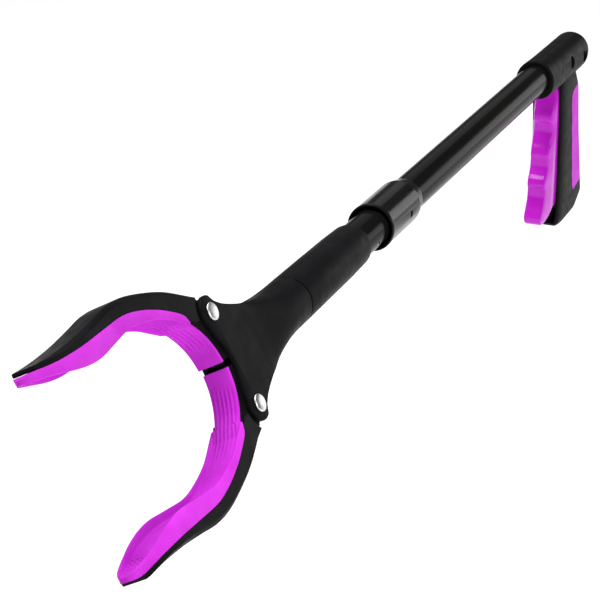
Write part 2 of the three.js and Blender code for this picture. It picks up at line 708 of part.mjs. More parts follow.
function yokeShells() {
  const body = loft(YOKE.map((row) => yokeRing(row))).intersect(plate(yokeOutline(), -30, 30));
  const rivetHoles = [RIVET_P, -RIVET_P].map((z) => rodY(0, z, 2.5, -20, 20, 20));
  const seats = SHELL_SCREWS.flatMap(({ x, z }) => [
    rodY(x, z, 2.7, -20, -SHELL_SEAT, 16), rodY(x, z, 1.35, -20, 8.2, 12),
  ]);
  const yoke = cut(join(body, spigot()), ...yokeHollows(), ...rivetHoles, ...seats);
  const [left, right] = halves(yoke);
  return [mesh('yoke_shell_left', left, blackPlastic), mesh('yoke_shell_right', right, blackPlastic)];
}

function headScrews() {
  return SHELL_SCREWS.map((at, i) =>
    screwY(`yoke_screw_${i + 1}`, at, -1, SHELL_SEAT, 2.3, 1.4, 1.05, -7.8));
}

function jawRivet(name, z) {
  const seat = PLATE_HALF + GAP;
  const profile = [
    [-seat - 1.1, 0], [-seat - 1.1, 2.6], [-seat - 0.6, 3.4], [-seat, 3.6], [-seat, 2.2], [seat, 2.2],
    [seat, 4.6], [seat + 0.5, 4.6], [seat + 1.1, 4], [seat + 1.4, 2.8], [seat + 1.4, 0],
  ];
  return mesh(name, turnedY(0, z, profile, 24), steel);
}

function crosshead() {
  const { x, p, r } = CROSS_PIN;
  const stem = plate([[-24, -4], [-5.5, -4], [-5.5, 4], [-24, 4]], -4, 4);
  const bar = plate([
    [-8, -4], [x - 2.6, -9.6], [x + 2.6, -9.8], [x + 2.6, 9.8], [x - 2.6, 9.6], [-8, 4],
  ], -2.2, 2.2);
  const body = cut(
    join(stem, bar, rod(-24, -22, 6, 24), rodY(x, p, r, -6.9, 6.9, 20), rodY(x, -p, r, -6.9, 6.9, 20)),
    rod(-25, -15, 1.2, 12),
    box(-17, -9.5, -2.4, 6, -2.4, 2.4),
  );
  return mesh('crosshead', body, blackPlastic);
}

function cableStop() {
  return mesh('cable_stop', turned([[-16.3, 0], [-16.3, 1.7], [-10.6, 1.7], [-10, 1.2], [-10, 0]], 16), steel);
}

const SPRING = { from: -61.4, to: -24.6, radius: 4.9, wire: 0.6, turns: 7 };

function returnSpring() {
  const { from, to, radius, wire, turns } = SPRING;
  const steps = turns * 9;
  const points = Array.from({ length: steps + 1 }, (_, i) => {
    const turn = 2 * Math.PI * turns * i / steps;
    const x = from + wire + (to - from - 2 * wire) * i / steps;
    return new THREE.Vector3(x, radius * Math.cos(turn), radius * Math.sin(turn));
  });
  const section = new THREE.Shape();
  section.absarc(0, 0, wire, 0, 2 * Math.PI);
  const coil = new THREE.ExtrudeGeometry(section, {
    steps, curveSegments: 3, extrudePath: new THREE.CatmullRomCurve3(points),
  });
  return mesh('return_spring', solid(coil), steel);
}

// ---------------------------------------------------------------- jaws
// The upper jaw with both jaws level, in the head's frame.
const JAW_BACK = [
  [3.4, 34.2], [12, 38.8], [27, 45.8], [42, 50.6], [60, 54.7], [75, 55.5], [90, 53.7], [105, 52],
  [120, 51.1], [132, 51], [140.4, 51.3],
];
const JAW_LEDGE = [
  [22.6, 31], [27, 34.2], [40, 40.5], [55, 45.5], [70, 48.1], [90, 47.8], [108, 47.3], [124, 47.6],
  [134, 48.4], [140.4, 49.3],
];
const JAW_FACE = [
  [8, 1.6], [9.6, 9.7], [13.6, 17.8], [20, 25.3], [27, 29.4], [39, 35.3], [53, 39.2], [67, 41],
  [84, 39.3], [98, 37.7], [109, 38.1], [119, 39.8], [128, 42], [136, 43.8], [143.5, 45.2],
];
const JAW_TIP = [[146.4, 46.4], [146.6, 47.4], [144, 49]];
// Half the jaw's width along it: the tip is rounded off like a spoon.
const JAW_PLAN = [
  [-5, 9.5], [35, 9.5], [70, 9.5], [92, 9.9], [108, 10.2], [118, 10], [126, 9.4], [133, 8.5], [139, 7],
  [143, 5], [145.6, 2.8], [146.8, 0],
];
const STEP_X = 20;                    // where the narrow tail widens into the arm
// Bevel along the frame's two outer edges: its width, and its depth along the jaw.
const BEVEL_SIDE = 2.3;
const BEVEL_DEPTH = [[3.4, 0.3], [14, 2.6], [90, 2.6], [141, 0.8]];
const CHANNEL_HALF = 6;
const WEB_DEPTH = 2.6;
const LIP = 2;
const GROOVE_DEPTH = 1.8;
const TAIL_SKIN = 1.6;

const back = smooth(JAW_BACK, 22);
const ledge = smooth(JAW_LEDGE, 22);
const face = smooth(JAW_FACE, 36);
const tailFace = face.filter(([x]) => x < STEP_X + 0.5);
const armFace = face.filter(([x]) => x > STEP_X + 1.2);

function jawPlan(inset) {
  const edge = smooth(JAW_PLAN, 16);
  const near = edge.map(([x, half]) => [x - (half === 0 ? inset : 0), Math.max(half - inset, 0)]);
  return prism([...near.slice(0, -1), near[near.length - 1], ...near.slice(0, -1).map(([x, y]) => [x, -y]).reverse()],
    0, 80);
}

function jawFrame() {
  const ear = arc(0, RIVET_P, EAR_R + 0.5, 2, 68, 10);
  const inside = [[141.2, 50], ...ledge.slice().reverse(), [20.9, 27.9], [18.5, 26.7], [16.9, 25.3], ...ear];
  const eased = [...back.map(([x, z]) => [x, z - between(BEVEL_DEPTH, x)[0]]), ...inside];
  const full = [...back, ...inside];
  const flank = ARM_HALF - BEVEL_SIDE;
  const arm = stacked([[eased, -11], [eased, -ARM_HALF], [full, -flank], [full, flank], [eased, ARM_HALF],
    [eased, 11]]).intersect(jawPlan(0));
  const bed = offset(tailFace, TAIL_SKIN + GAP);
  const tail = join(
    plate([
      ...bed.slice().reverse(), [-2.6, 1.7], [-6, 9], [-7.4, 18], [-7, 28], [2, 33], [14, 36],
      [22.3, 38], [22.3, 31], [20.9, 27.9],
    ], -TAIL_HALF, TAIL_HALF),
    rodY(0, RIVET_P, 7.6, -TAIL_HALF, TAIL_HALF, 32),
  );
  return { arm, tail, channel: channelFill(0) };
}

// What the frame's hollow back holds, shrunk by the clearance all round.
function channelFill(clearance) {
  const half = CHANNEL_HALF - clearance;
  const band = plate([...offset(back, -WEB_DEPTH - clearance), ...offset(ledge, -3).reverse()], -half, half);
  return band.intersect(box(30 + clearance, 118 - clearance, -20, 20, 0, 80));
}

function pinSlot(side) {
  const reach = Math.hypot(CROSS_PIN.x, RIVET_P - CROSS_PIN.p);
  const far = Math.hypot(CROSS_PIN.x - CROSS_TRAVEL, RIVET_P - CROSS_PIN.p);
  const turn = Math.atan2(CROSS_PIN.p - RIVET_P, CROSS_PIN.x) + side * THREE.MathUtils.degToRad(1);
  const width = CROSS_PIN.r + 0.65;
  const at = (distance) => [distance * Math.cos(turn), RIVET_P + distance * Math.sin(turn)];
  const [a, b] = [at(reach - 0.4), at(far + 0.4)];
  const across = [width * Math.sin(turn), -width * Math.cos(turn)];
  return join(
    rodY(a[0], a[1], width, -20, 20, 20),
    rodY(b[0], b[1], width, -20, 20, 20),
    plate([
      [a[0] + across[0], a[1] + across[1]], [b[0] + across[0], b[1] + across[1]],
      [b[0] - across[0], b[1] - across[1]], [a[0] - across[0], a[1] - across[1]],
    ], -20, 20),
  );
}

function jawPad() {
  const wide = plate([
    ...offset(ledge, -GAP), [141.5, 49.1], ...JAW_TIP.slice().reverse(), ...armFace.slice().reverse(),
  ], -11, 11).intersect(jawPlan(0));
  const skin = plate([
    ...offset(tailFace, TAIL_SKIN), [21.3, 27.6], [25, 29.8], [25, 28.6], ...tailFace.slice().reverse(),
  ], -TAIL_HALF, TAIL_HALF);
  const grooveFace = face.filter(([x]) => x > 25 && x < 142);
  const groove = plate([...offset(grooveFace, GROOVE_DEPTH), ...offset(grooveFace, -6).reverse()], -20, 20)
    .intersect(jawPlan(LIP));
  return cut(join(wide, channelFill(GAP), skin), groove);
}

// side is +1 for the upper jaw and -1 for the lower.
function jaw(side) {
  const name = side > 0 ? 'upper' : 'lower';
  const { arm, tail, channel } = jawFrame();
  const frame = cut(
    join(cut(arm, channel), tail),
    rodY(0, RIVET_P, 2.6, -20, 20, 20),
    plate([[-20, -2], [4.3, -2], [4.3, 12.6], [-20, 15]], -2.6, 2.6),
  );
  const place = new THREE.Group();
  place.position.set(0, 0, side * RIVET_P);
  place.rotation.y = -THREE.MathUtils.degToRad(JAW_SPLAY);
  const lower = (body) => (side > 0 ? body : body.mirror([0, 0, 1]));
  const toPivot = (body) => body.translate([0, 0, -side * RIVET_P]);
  const splay = side * JAW_SPLAY;
  const slot = toPivot(lower(pinSlot(side))).rotate([0, JAW_SPLAY, 0]);
  const frameMesh = mesh(`jaw_frame_${name}`, cut(toPivot(lower(frame)), slot), blackPlastic);
  const padMesh = mesh(`jaw_pad_${name}`, toPivot(lower(jawPad())), purpleRubber);
  place.add(frameMesh, padMesh);
  return place;
}

// ---------------------------------------------------------------- assembly
const reacher = new THREE.Group();
reacher.position.set(-(BASE_FRONT_X + BASE_BACK_X) / 2, 0, -BASE_Z);

const hinge = foldHinge();
const cable = cables();
reacher.add(
  ...gripShells(),
  palmPad(),
  ...gripScrews(),
  trigger(),
  mesh('trigger_pivot_pin', rodY(PIVOT.x, PIVOT.z, 1.5, -9, 9, 16), steel),
  mesh('cable_anchor', rodY(ANCHOR.x, ANCHOR.z, 2, -4, 4, 16), steel),
  tube('rear_tube', TUBE_START_X, FOLD.x - HINGE_HEAD, plugPinHole(REAR_PLUG_PIN)),
  hinge.rear,
  plugPin('hinge_plug_pin_rear', REAR_PLUG_PIN),
  hinge.pin,
  lockSleeve(),
  cable.rear,
  cable.bend,
  cable.front,
  hinge.front,
  plugPin('hinge_plug_pin_front', FRONT_PLUG_PIN),
  tube('front_tube', FOLD.x + HINGE_HEAD, NECK.seat - GAP, plugPinHole(FRONT_PLUG_PIN), neckScrewHole),
  neckCollar(),
  neckScrew(),
);

const head = new THREE.Group();
head.position.set(HEAD_X, 0, 0);
head.rotation.x = THREE.MathUtils.degToRad(HEAD_TURN);
head.add(
  ...yokeShells(),
  ...headScrews(),
  swivelRing(),
  jawRivet('jaw_rivet_upper', RIVET_P),
  jawRivet('jaw_rivet_lower', -RIVET_P),
  crosshead(),
  cableStop(),
  returnSpring(),
  jaw(1),
  jaw(-1),
);
reacher.add(head);

export default reacher;
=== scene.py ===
# Looks of the folding reacher grabber: smooth, detailed pieces in place of the faceted CAD nodes,
# procedural materials, floor, lights and camera. Lengths in the tables are millimetres.
import json
import math

import bmesh
import bpy
from mathutils import Matrix, Vector


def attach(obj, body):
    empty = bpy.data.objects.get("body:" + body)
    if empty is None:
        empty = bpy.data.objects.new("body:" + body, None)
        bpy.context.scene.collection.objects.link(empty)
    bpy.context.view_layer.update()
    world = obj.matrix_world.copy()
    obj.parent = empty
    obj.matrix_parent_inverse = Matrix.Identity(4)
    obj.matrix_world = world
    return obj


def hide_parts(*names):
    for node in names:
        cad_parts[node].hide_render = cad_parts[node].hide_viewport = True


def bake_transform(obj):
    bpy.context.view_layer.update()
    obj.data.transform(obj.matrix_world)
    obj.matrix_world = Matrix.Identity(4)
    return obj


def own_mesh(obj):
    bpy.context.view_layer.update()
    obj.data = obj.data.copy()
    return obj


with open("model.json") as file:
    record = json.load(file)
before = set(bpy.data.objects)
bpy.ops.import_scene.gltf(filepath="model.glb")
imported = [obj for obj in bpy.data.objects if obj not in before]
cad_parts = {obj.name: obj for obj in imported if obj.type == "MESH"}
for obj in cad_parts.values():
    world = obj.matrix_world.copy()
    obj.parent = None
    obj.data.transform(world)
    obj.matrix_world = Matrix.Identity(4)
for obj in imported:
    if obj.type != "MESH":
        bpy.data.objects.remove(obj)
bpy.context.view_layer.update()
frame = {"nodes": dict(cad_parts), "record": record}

MM = 0.001
# The shaft's frame: x runs forward along its axis from the back of the barrel, and z is up.
SHAFT = Matrix.Scale(MM, 4) @ Matrix.Translation((-36, 0, 128))
# The head's frame: its origin is on the shaft's axis at the jaw rivets, and it is turned with the head.
HEAD_X = 676.4
HEAD_TURN = 30
HEAD = SHAFT @ Matrix.Translation((HEAD_X, 0, 0)) @ Matrix.Rotation(math.radians(HEAD_TURN), 4, "X")
RIVET_Z = 25
# Both jaws point up by this many degrees at rest.
JAW_RISE = 1.7
# Half the seam between the left and the right half of a housing.
HALF_SEAM = 0.15


def jaw_place(side):
    """From a jaw's own frame, with its pivot at the origin, to the object's frame."""
    turn = Matrix.Rotation(math.radians(-JAW_RISE), 4, "Y")
    return HEAD @ Matrix.Translation((0, 0, side * RIVET_Z)) @ turn


# ---------------------------------------------------------------- numbers and lines
def between(rows, key):
    """Reads rows of [key, a, b, ...] straight between them."""
    up = 1 if rows[0][0] < rows[-1][0] else -1
    if up * key <= up * rows[0][0]:
        return list(rows[0][1:])
    for low, high in zip(rows, rows[1:]):
        if up * key <= up * high[0]:
            t = (key - low[0]) / (high[0] - low[0])
            return [a + t * (b - a) for a, b in zip(low[1:], high[1:])]
    return list(rows[-1][1:])


def slope(rows, i, column):
    """A slope at row i that never overshoots the rows beside it."""
    if i in (0, len(rows) - 1):
        a, b = (rows[0], rows[1]) if i == 0 else (rows[-2], rows[-1])
        return (b[column] - a[column]) / (b[0] - a[0])
    before = (rows[i][column] - rows[i - 1][column]) / (rows[i][0] - rows[i - 1][0])
    after = (rows[i + 1][column] - rows[i][column]) / (rows[i + 1][0] - rows[i][0])
    return 0 if before * after <= 0 else 2 * before * after / (before + after)


def eased(rows, key):
    """Reads the same rows along a smooth line that doesn't overshoot."""
    up = 1 if rows[0][0] < rows[-1][0] else -1
    key = up * min(max(up * key, up * rows[0][0]), up * rows[-1][0])
    i = 0
    while i < len(rows) - 2 and up * key > up * rows[i + 1][0]:
        i += 1
    low, high = rows[i], rows[i + 1]
    h = high[0] - low[0]
    t = (key - low[0]) / h
    made = []
    for c in range(1, len(low)):
        m0, m1 = slope(rows, i, c), slope(rows, i + 1, c)
        made.append(
            (2 * t**3 - 3 * t**2 + 1) * low[c] + (t**3 - 2 * t**2 + t) * h * m0
            + (3 * t**2 - 2 * t**3) * high[c] + (t**3 - t**2) * h * m1
        )
    return made


def spline(points, steps):
    """A smooth line through the points."""
    line = []
    for k in range(steps + 1):
        p = (len(points) - 1) * k / steps
        i = min(int(p), len(points) - 2)
        t = p - i
        around = [points[min(max(j, 0), len(points) - 1)] for j in (i - 1, i, i + 1, i + 2)]
        line.append(tuple(
            (2 * b - 2 * c + (c - a) / 2 + (d - b) / 2) * t**3
            + (-3 * b + 3 * c - (c - a) - (d - b) / 2) * t**2 + (c - a) / 2 * t + b
            for a, b, c, d in zip(*around)
        ))
    return line


def arc(x, z, r, start, end, steps):
    turns = [math.radians(start + (end - start) * i / steps) for i in range(steps + 1)]
    return [(x + r * math.cos(t), z + r * math.sin(t)) for t in turns]


def offset(points, distance):
    """The open line moved to its left."""
    moved = []
    for i, (a, b) in enumerate(points):
        p, q = points[max(i - 1, 0)], points[min(i + 1, len(points) - 1)]
        run = (q[0] - p[0], q[1] - p[1])
        length = math.hypot(*run)
        moved.append((a - distance * run[1] / length, b + distance * run[0] / length))
    return moved


def offset_loop(points, distance):
    """The closed outline with every edge moved to its left."""
    def unit(p, q):
        length = math.hypot(q[0] - p[0], q[1] - p[1])
        return (q[0] - p[0]) / length, (q[1] - p[1]) / length

    moved = []
    for i, p in enumerate(points):
        a, b = unit(points[i - 1], p), unit(p, points[(i + 1) % len(points)])
        reach = distance / (1 + a[0] * b[0] + a[1] * b[1])
        moved.append((p[0] - reach * (a[1] + b[1]), p[1] + reach * (a[0] + b[0])))
    return moved


def mirrored(points):
    return [(x, -z) for x, z in reversed(points)]


def both_sides(rows):
    """Rows of [a, y] from the outside in, first at -y and then, turned round, at +y."""
    return [(a, -y) for a, y in rows] + [(a, y) for a, y in reversed(rows)]


def signed_power(value, power):
    return math.copysign(abs(value) ** power, value)


# ---------------------------------------------------------------- solids
def solid(verts, faces):
    mesh = bpy.data.meshes.new("part")
    mesh.from_pydata([tuple(v) for v in verts], [], faces)
    bm = bmesh.new()
    bm.from_mesh(mesh)
    bmesh.ops.remove_doubles(bm, verts=bm.verts, dist=1e-5)
    bmesh.ops.recalc_face_normals(bm, faces=bm.faces)
    bm.to_mesh(mesh)
    bm.free()
    made = bpy.data.objects.new("part", mesh)
    bpy.context.scene.collection.objects.link(made)
    return made


def loft(rings, closed=False):
    """Closed rings of equal count, skinned in order; closed joins the last to the first."""
    n, count = len(rings[0]), len(rings)
    faces = []
    for r in range(count if closed else count - 1):
        low, high = r * n, (r + 1) % count * n
        for i in range(n):
            j = (i + 1) % n
            faces.append((low + i, low + j, high + j, high + i))
    if not closed:
        faces += [tuple(range(n)), tuple((count - 1) * n + i for i in range(n))]
    return solid([v for ring in rings for v in ring], faces)


def stacked(layers):
    """XZ outlines of equal count, each at its own y, skinned in order."""
    return loft([[(x, y, z) for x, z in outline] for outline, y in layers])


def plate(outline, y0, y1):
    return stacked([(outline, y0), (outline, y1)])


def prism(outline, z0, z1):
    return loft([[(x, y, z) for x, y in outline] for z in (z0, z1)])


def box(x0, x1, y0, y1, z0, z1):
    return plate([(x0, z0), (x1, z0), (x1, z1), (x0, z1)], y0, y1)


def turned(profile, segments=96, place=Matrix.Identity(4)):
    """A solid turned about X from [x, r] points: closed on itself, or from axis to axis."""
    solid_core = profile[0][1] == 0
    rings = []
    for x, r in profile[1:-1] if solid_core else profile:
        rings.append([
            (x, r * math.cos(2 * math.pi * i / segments), r * math.sin(2 * math.pi * i / segments))
            for i in range(segments)
        ])
    made = loft(rings, closed=not solid_core)
    made.data.transform(place)
    return made


def along_y(x, z):
    """Stands a turned solid's axis along +Y through (x, z)."""
    return Matrix.Translation((x, 0, z)) @ Matrix.Rotation(math.pi / 2, 4, "Z")


def rod(x0, x1, r, segments=96):
    return turned([(x0, 0), (x0, r), (x1, r), (x1, 0)], segments)


def rod_y(x, z, r, y0, y1, segments=48):
    return turned([(y0, 0), (y0, r), (y1, r), (y1, 0)], segments, along_y(x, z))


def rod_z(x, r, z0, z1, segments=32):
    place = Matrix.Translation((x, 0, 0)) @ Matrix.Rotation(-math.pi / 2, 4, "Y")
    return turned([(z0, 0), (z0, r), (z1, r), (z1, 0)], segments, place)


def combine(body, operation, tools):
    for tool in tools:
        step = body.modifiers.new("step", "BOOLEAN")
        step.operation, step.solver, step.object = operation, "MANIFOLD", tool
    ready = body.evaluated_get(bpy.context.evaluated_depsgraph_get())
    mesh = bpy.data.meshes.new_from_object(ready)
    body.modifiers.clear()
    old, body.data = body.data, mesh
    bpy.data.meshes.remove(old)
    for tool in tools:
        bpy.data.objects.remove(tool)
    return body


def join(body, *tools):
    return combine(body, "UNION", tools)


def cut(body, *tools):
    return combine(body, "DIFFERENCE", tools)


def meet(body, *tools):
    return combine(body, "INTERSECT", tools)


def copy_of(body):
    made = body.copy()
    made.data = body.data.copy()
    bpy.context.scene.collection.objects.link(made)
    return made


def halves(body):
    """The left (+Y) and right (-Y) half, with a thin seam between them."""
    past_x, past_y, past_z = 1000, 60, 300
    other = copy_of(body)
    left = meet(body, box(-past_x, past_x, HALF_SEAM, past_y, -past_z, past_z))
    return left, meet(other, box(-past_x, past_x, -past_y, -HALF_SEAM, -past_z, past_z))


def piece(node, made, place, body, slot, material=None, sharp=32):
    """Puts a solid in place on its body, where it replaces the CAD node, and gives it its finish."""
    made.name = made.data.name = node + "_fine"
    made.data.transform(place)
    made.data.shade_smooth()
    made.data.set_sharp_from_angle(angle=math.radians(sharp))
    made.data.materials.clear()
    made.data.materials.append(material or BY_SLOT[slot])
    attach(made, body)
    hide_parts(node)
    return made


# ---------------------------------------------------------------- materials
# Noise scales are in cells per metre.
BROAD_MOTTLE = 55
FINE_PATCHES = 420
SHEEN_PATCHES = 160
EDGE_RADIUS = 0.35
# How far the rounded normal agrees with the true one: on an edge that is fully worn, and where the
# surface is flat and none of it is.
CREASED = 0.86
FLAT = 0.995
# The tone of a rubbed edge: the colour times the gain, plus a share of the wear.
RUBBED_GAIN = 1.6
RUBBED_SHARE = 0.12


class Finish:
    """A procedural finish: mottled colour, uneven roughness, grain, and edges rubbed lighter."""

    def __init__(self, name, low, high, roughness, grain, edge_wear, stretch=(1, 1, 1), **sockets):
        self.material = bpy.data.materials.new(name)
        self.material.use_nodes = True
        self.tree = self.material.node_tree
        self.tree.nodes.clear()
        self.shader = self.add("ShaderNodeBsdfPrincipled")
        output = self.add("ShaderNodeOutputMaterial")
        self.link(self.shader.outputs["BSDF"], output.inputs["Surface"])
        for socket, value in sockets.items():
            self.shader.inputs[socket.replace("_", " ")].default_value = value
        self.place = self.add("ShaderNodeMapping")
        self.place.inputs["Scale"].default_value = stretch
        self.link(self.add("ShaderNodeTexCoord").outputs["Object"], self.place.inputs["Vector"])
        self.colour(low, high, edge_wear)
        self.roughness(*roughness)
        self.relief(*grain)

    def add(self, kind):
        return self.tree.nodes.new(kind)

    def link(self, a, b):
        self.tree.links.new(a, b)

    def noise(self, per_metre, detail=3.0):
        made = self.add("ShaderNodeTexNoise")
        made.inputs["Scale"].default_value = per_metre
        made.inputs["Detail"].default_value = detail
        self.link(self.place.outputs["Vector"], made.inputs["Vector"])
        return made.outputs["Fac"]

    def ranged(self, source, low, high, start=0.3, end=0.7):
        made = self.add("ShaderNodeMapRange")
        for name, value in (("From Min", start), ("From Max", end), ("To Min", low), ("To Max", high)):
            made.inputs[name].default_value = value
        self.link(source, made.inputs["Value"])
        return made.outputs["Result"]

    def mixed(self, share, low, high):
        made = self.add("ShaderNodeMix")
        made.data_type = "RGBA"
        self.link(share, made.inputs["Factor"])
        for socket, value in (("A", low), ("B", high)):
            plug = [s for s in made.inputs if s.name == socket and s.type == "RGBA"][0]
            if isinstance(value, bpy.types.NodeSocket):
                self.link(value, plug)
            else:
                plug.default_value = (*value, 1)
        return [s for s in made.outputs if s.type == "RGBA"][0]

    def colour(self, low, high, edge_wear):
        """Broad mottling, with a lighter tone in patches where the edge was rubbed."""
        broad = self.mixed(self.ranged(self.noise(BROAD_MOTTLE), 0, 1), low, high)
        rubbed = tuple(min(1.0, c * RUBBED_GAIN + edge_wear * RUBBED_SHARE) for c in high)
        self.bevel = self.add("ShaderNodeBevel")
        self.bevel.samples = 4
        self.bevel.inputs["Radius"].default_value = EDGE_RADIUS * MM
        flat = self.add("ShaderNodeNewGeometry")
        turn = self.add("ShaderNodeVectorMath")
        turn.operation = "DOT_PRODUCT"
        self.link(self.bevel.outputs["Normal"], turn.inputs[0])
        self.link(flat.outputs["Normal"], turn.inputs[1])
        edge = self.ranged(turn.outputs["Value"], edge_wear, 0, CREASED, FLAT)
        patch = self.add("ShaderNodeMath")
        patch.operation = "MULTIPLY"
        self.link(edge, patch.inputs[0])
        self.link(self.ranged(self.noise(FINE_PATCHES), 0.2, 1), patch.inputs[1])
        self.link(self.mixed(patch.outputs[0], broad, rubbed), self.shader.inputs["Base Color"])

    def roughness(self, low, high):
        sheen = self.ranged(self.noise(SHEEN_PATCHES, 5), low, high)
        self.link(sheen, self.shader.inputs["Roughness"])

    def relief(self, per_metre, height):
        """Grain of that height in millimetres, on a normal rounded over the edges."""
        bump = self.add("ShaderNodeBump")
        bump.inputs["Strength"].default_value = 1
        bump.inputs["Distance"].default_value = height * MM
        self.link(self.noise(per_metre, 2), bump.inputs["Height"])
        self.link(self.bevel.outputs["Normal"], bump.inputs["Normal"])
        self.link(bump.outputs["Normal"], self.shader.inputs["Normal"])


# A finish's roughness is its range; its grain is cells per metre and height.
MATTE_BLACK = Finish(
    "matte_black", (0.0055, 0.0055, 0.0062), (0.0085, 0.0085, 0.0095),
    roughness=(0.36, 0.5), grain=(2400, 0.014), edge_wear=0.3, IOR=1.46, Specular_IOR_Level=0.03,
).material
TUBE_BLACK = Finish(
    "tube_black", (0.004, 0.0038, 0.0036), (0.007, 0.0066, 0.0062), roughness=(0.13, 0.2),
    grain=(1800, 0.003), edge_wear=0.3, stretch=(0.12, 1, 1), IOR=1.5, Specular_IOR_Level=0.03,
).material
SLEEVE_BLACK = Finish(
    "sleeve_black", (0.005, 0.005, 0.0055), (0.008, 0.008, 0.009),
    roughness=(0.11, 0.17), grain=(2200, 0.004), edge_wear=0.3, IOR=1.48, Specular_IOR_Level=0.07,
).material
RUBBER = Finish(
    "magenta_rubber", (0.56, 0.026, 0.62), (0.68, 0.044, 0.75),
    roughness=(0.42, 0.56), grain=(1900, 0.02), edge_wear=0.25, IOR=1.45, Specular_IOR_Level=0.06,
).material
GLOSS_MAGENTA = Finish(
    "magenta_gloss", (0.52, 0.010, 0.56), (0.60, 0.018, 0.66), roughness=(0.12, 0.19),
    grain=(1100, 0.005), edge_wear=0.25, IOR=1.5, Specular_IOR_Level=0.2, Coat_Weight=0.14,
    Coat_Roughness=0.08,
).material
STEEL = Finish(
    "bright_steel", (0.78, 0.78, 0.79), (0.92, 0.92, 0.93),
    roughness=(0.3, 0.46), grain=(2600, 0.008), edge_wear=0.3, Metallic=1.0,
).material
DARK_STEEL = Finish(
    "dark_screw", (0.10, 0.10, 0.105), (0.16, 0.16, 0.165),
    roughness=(0.3, 0.45), grain=(2600, 0.008), edge_wear=0.3, Metallic=1.0,
).material
SEAL = Finish(
    "seal_rubber", (0.012, 0.012, 0.012), (0.02, 0.02, 0.02),
    roughness=(0.6, 0.75), grain=(1800, 0.02), edge_wear=0.2,
).material

BY_SLOT = {
    "black_plastic": MATTE_BLACK, "gloss_black": TUBE_BLACK, "sleeve_black": SLEEVE_BLACK,
    "purple_rubber": RUBBER, "purple_gloss": GLOSS_MAGENTA, "steel": STEEL,
    "seal_rubber": SEAL,
}


def dress_cad_nodes():
    """Every CAD node, shown or not, gets the finish of the slot that the record gives it."""
    slots = {part["node"]: part["material_slot"] for part in frame["record"]["subparts"]}
    for name, node in frame["nodes"].items():
        node.data.materials.clear()
        node.data.materials.append(BY_SLOT[slots[name]])


# ---------------------------------------------------------------- grip housing
# Barrel sections: [x, half width, top, bottom].
BARREL = [
    (0, 11.4, 10.2, -13.6), (0.8, 12.9, 11.7, -15.2), (3, 14, 12.6, -16.3), (30, 14, 12.8, -16.5),
    (80, 14.1, 13.3, -16), (98, 14.2, 13.9, -15.2), (106.6, 14.3, 14.2, -14.5), (107.9, 14.1, 14, -14.2),
    (108.5, 13.5, 13.4, -13.6),
]
BARREL_MIDDLE_Z = -1
# How square the barrel is below its middle: 2 is round.
BELLY_FULLNESS = 2.4
# Grip sections: [z, back x, front x, half width].
GRIP = [
    (-3, 25, 70, 12), (-10, 23, 69.6, 12.8), (-17, 17.5, 68.7, 13), (-24, 11.8, 67.5, 13),
    (-34, 8.6, 65.2, 13), (-48, 5, 62.6, 13), (-66, -0.8, 60.6, 13), (-86, -8.2, 58.4, 13),
    (-104, -14.8, 57, 13), (-118, -19.6, 57.4, 13), (-125.5, -22.4, 61, 13), (-128, -22.4, 58, 12),
]
GRIP_OUTLINE = [
    (-60, 0), (-60, -103.5), (-19.6, -109.5), (-16.6, -112.9), (14, -128), (14, -133), (90, -133), (90, 0),
]
GRIP_BACK_DEPTH = 14
GRIP_FULLNESS = 2.2
# The corner between the grip's side and its front: [back from the front, in from the side].
GRIP_FRONT_CORNER = [(14, 0), (9, 0.25), (6, 0.6), (3.4, 1.05), (1.5, 1.6), (0.5, 2.1), (0.1, 2.9)]
# Both rubber pads' thickness over their beds, and the gap round them.
PAD_SKIN = 1.6
PAD_GAP = 0.3
# The side outline of the bay that the trigger swings in.
TRIGGER_BAY = [
    (77, 2), (77, -17.2), (95, -17.2), (95, -124.8), (23, -124.8), (16.5, -100), (28, -60), (33, -30),
    (38, -14), (43, 2),
]
BAY_HALF = 9.7
# The walls between the bay, the hollow behind it and the palm pad's bed.
BAY_WALL = 2.2
GRIP_WALL = 2.5
# The trigger's pivot and the screws, each as (x, z).
PIVOT = (64, 8)
SIDE_SCREWS = [(50, 1), (9.6, -4)]
HEEL_SCREW = (9.5, -116.4)
PIVOT_HOLE_R = 1.8
PILOT_R = 1.65
BOSS_R = 6.4
BARREL_BORE_R = 10.2
TUBE_SOCKET_R = 11.4
TUBE_SOCKET_X = 78.5
PANEL_FLOOR = 13.4


def barrel_ring(row, count=112):
    x, half, top, bottom = row
    ring = []
    for i in range(count):
        turn = 2 * math.pi * i / count
        c, s = math.cos(turn), math.sin(turn)
        power = 2 / BELLY_FULLNESS if s < 0 else 1
        height = BARREL_MIDDLE_Z - bottom if s < 0 else top - BARREL_MIDDLE_Z
        ring.append((x, half * signed_power(c, power), BARREL_MIDDLE_Z + height * signed_power(s, power)))
    return ring


def barrel():
    stations = [
        0, 0.15, 0.4, 0.8, 1.2, 1.8, 2.4, 3, 6, 15, 30, 45, 60, 80, 90, 98, 103, 106.2, 106.8,
        107.4, 107.9, 108.2, 108.5,
    ]
    return loft([barrel_ring((x, *eased(BARREL, x))) for x in stations])


def grip_ring(z, back, front, half, inset, steps=44):
    depth, side, nose = GRIP_BACK_DEPTH - inset, half - inset, front - inset
    power = 2 / GRIP_FULLNESS
    ring = []
    for i in range(steps + 1):
        turn = math.pi / 2 + math.pi * i / steps
        c, s = math.cos(turn), math.sin(turn)
        ring.append((back + GRIP_BACK_DEPTH - depth * abs(c) ** power, side * signed_power(s, power), z))
    right = [(nose - a, b - side, z) for a, b in GRIP_FRONT_CORNER]
    return ring + right + [(x, -y, z) for x, y, z in reversed(right)]


def grip_loft(inset):
    stations = [-128, -127.2, -126.4] + [-125.5 + 122.5 * i / 54 for i in range(55)]
    return loft([grip_ring(z, *eased(GRIP, z), inset) for z in stations])


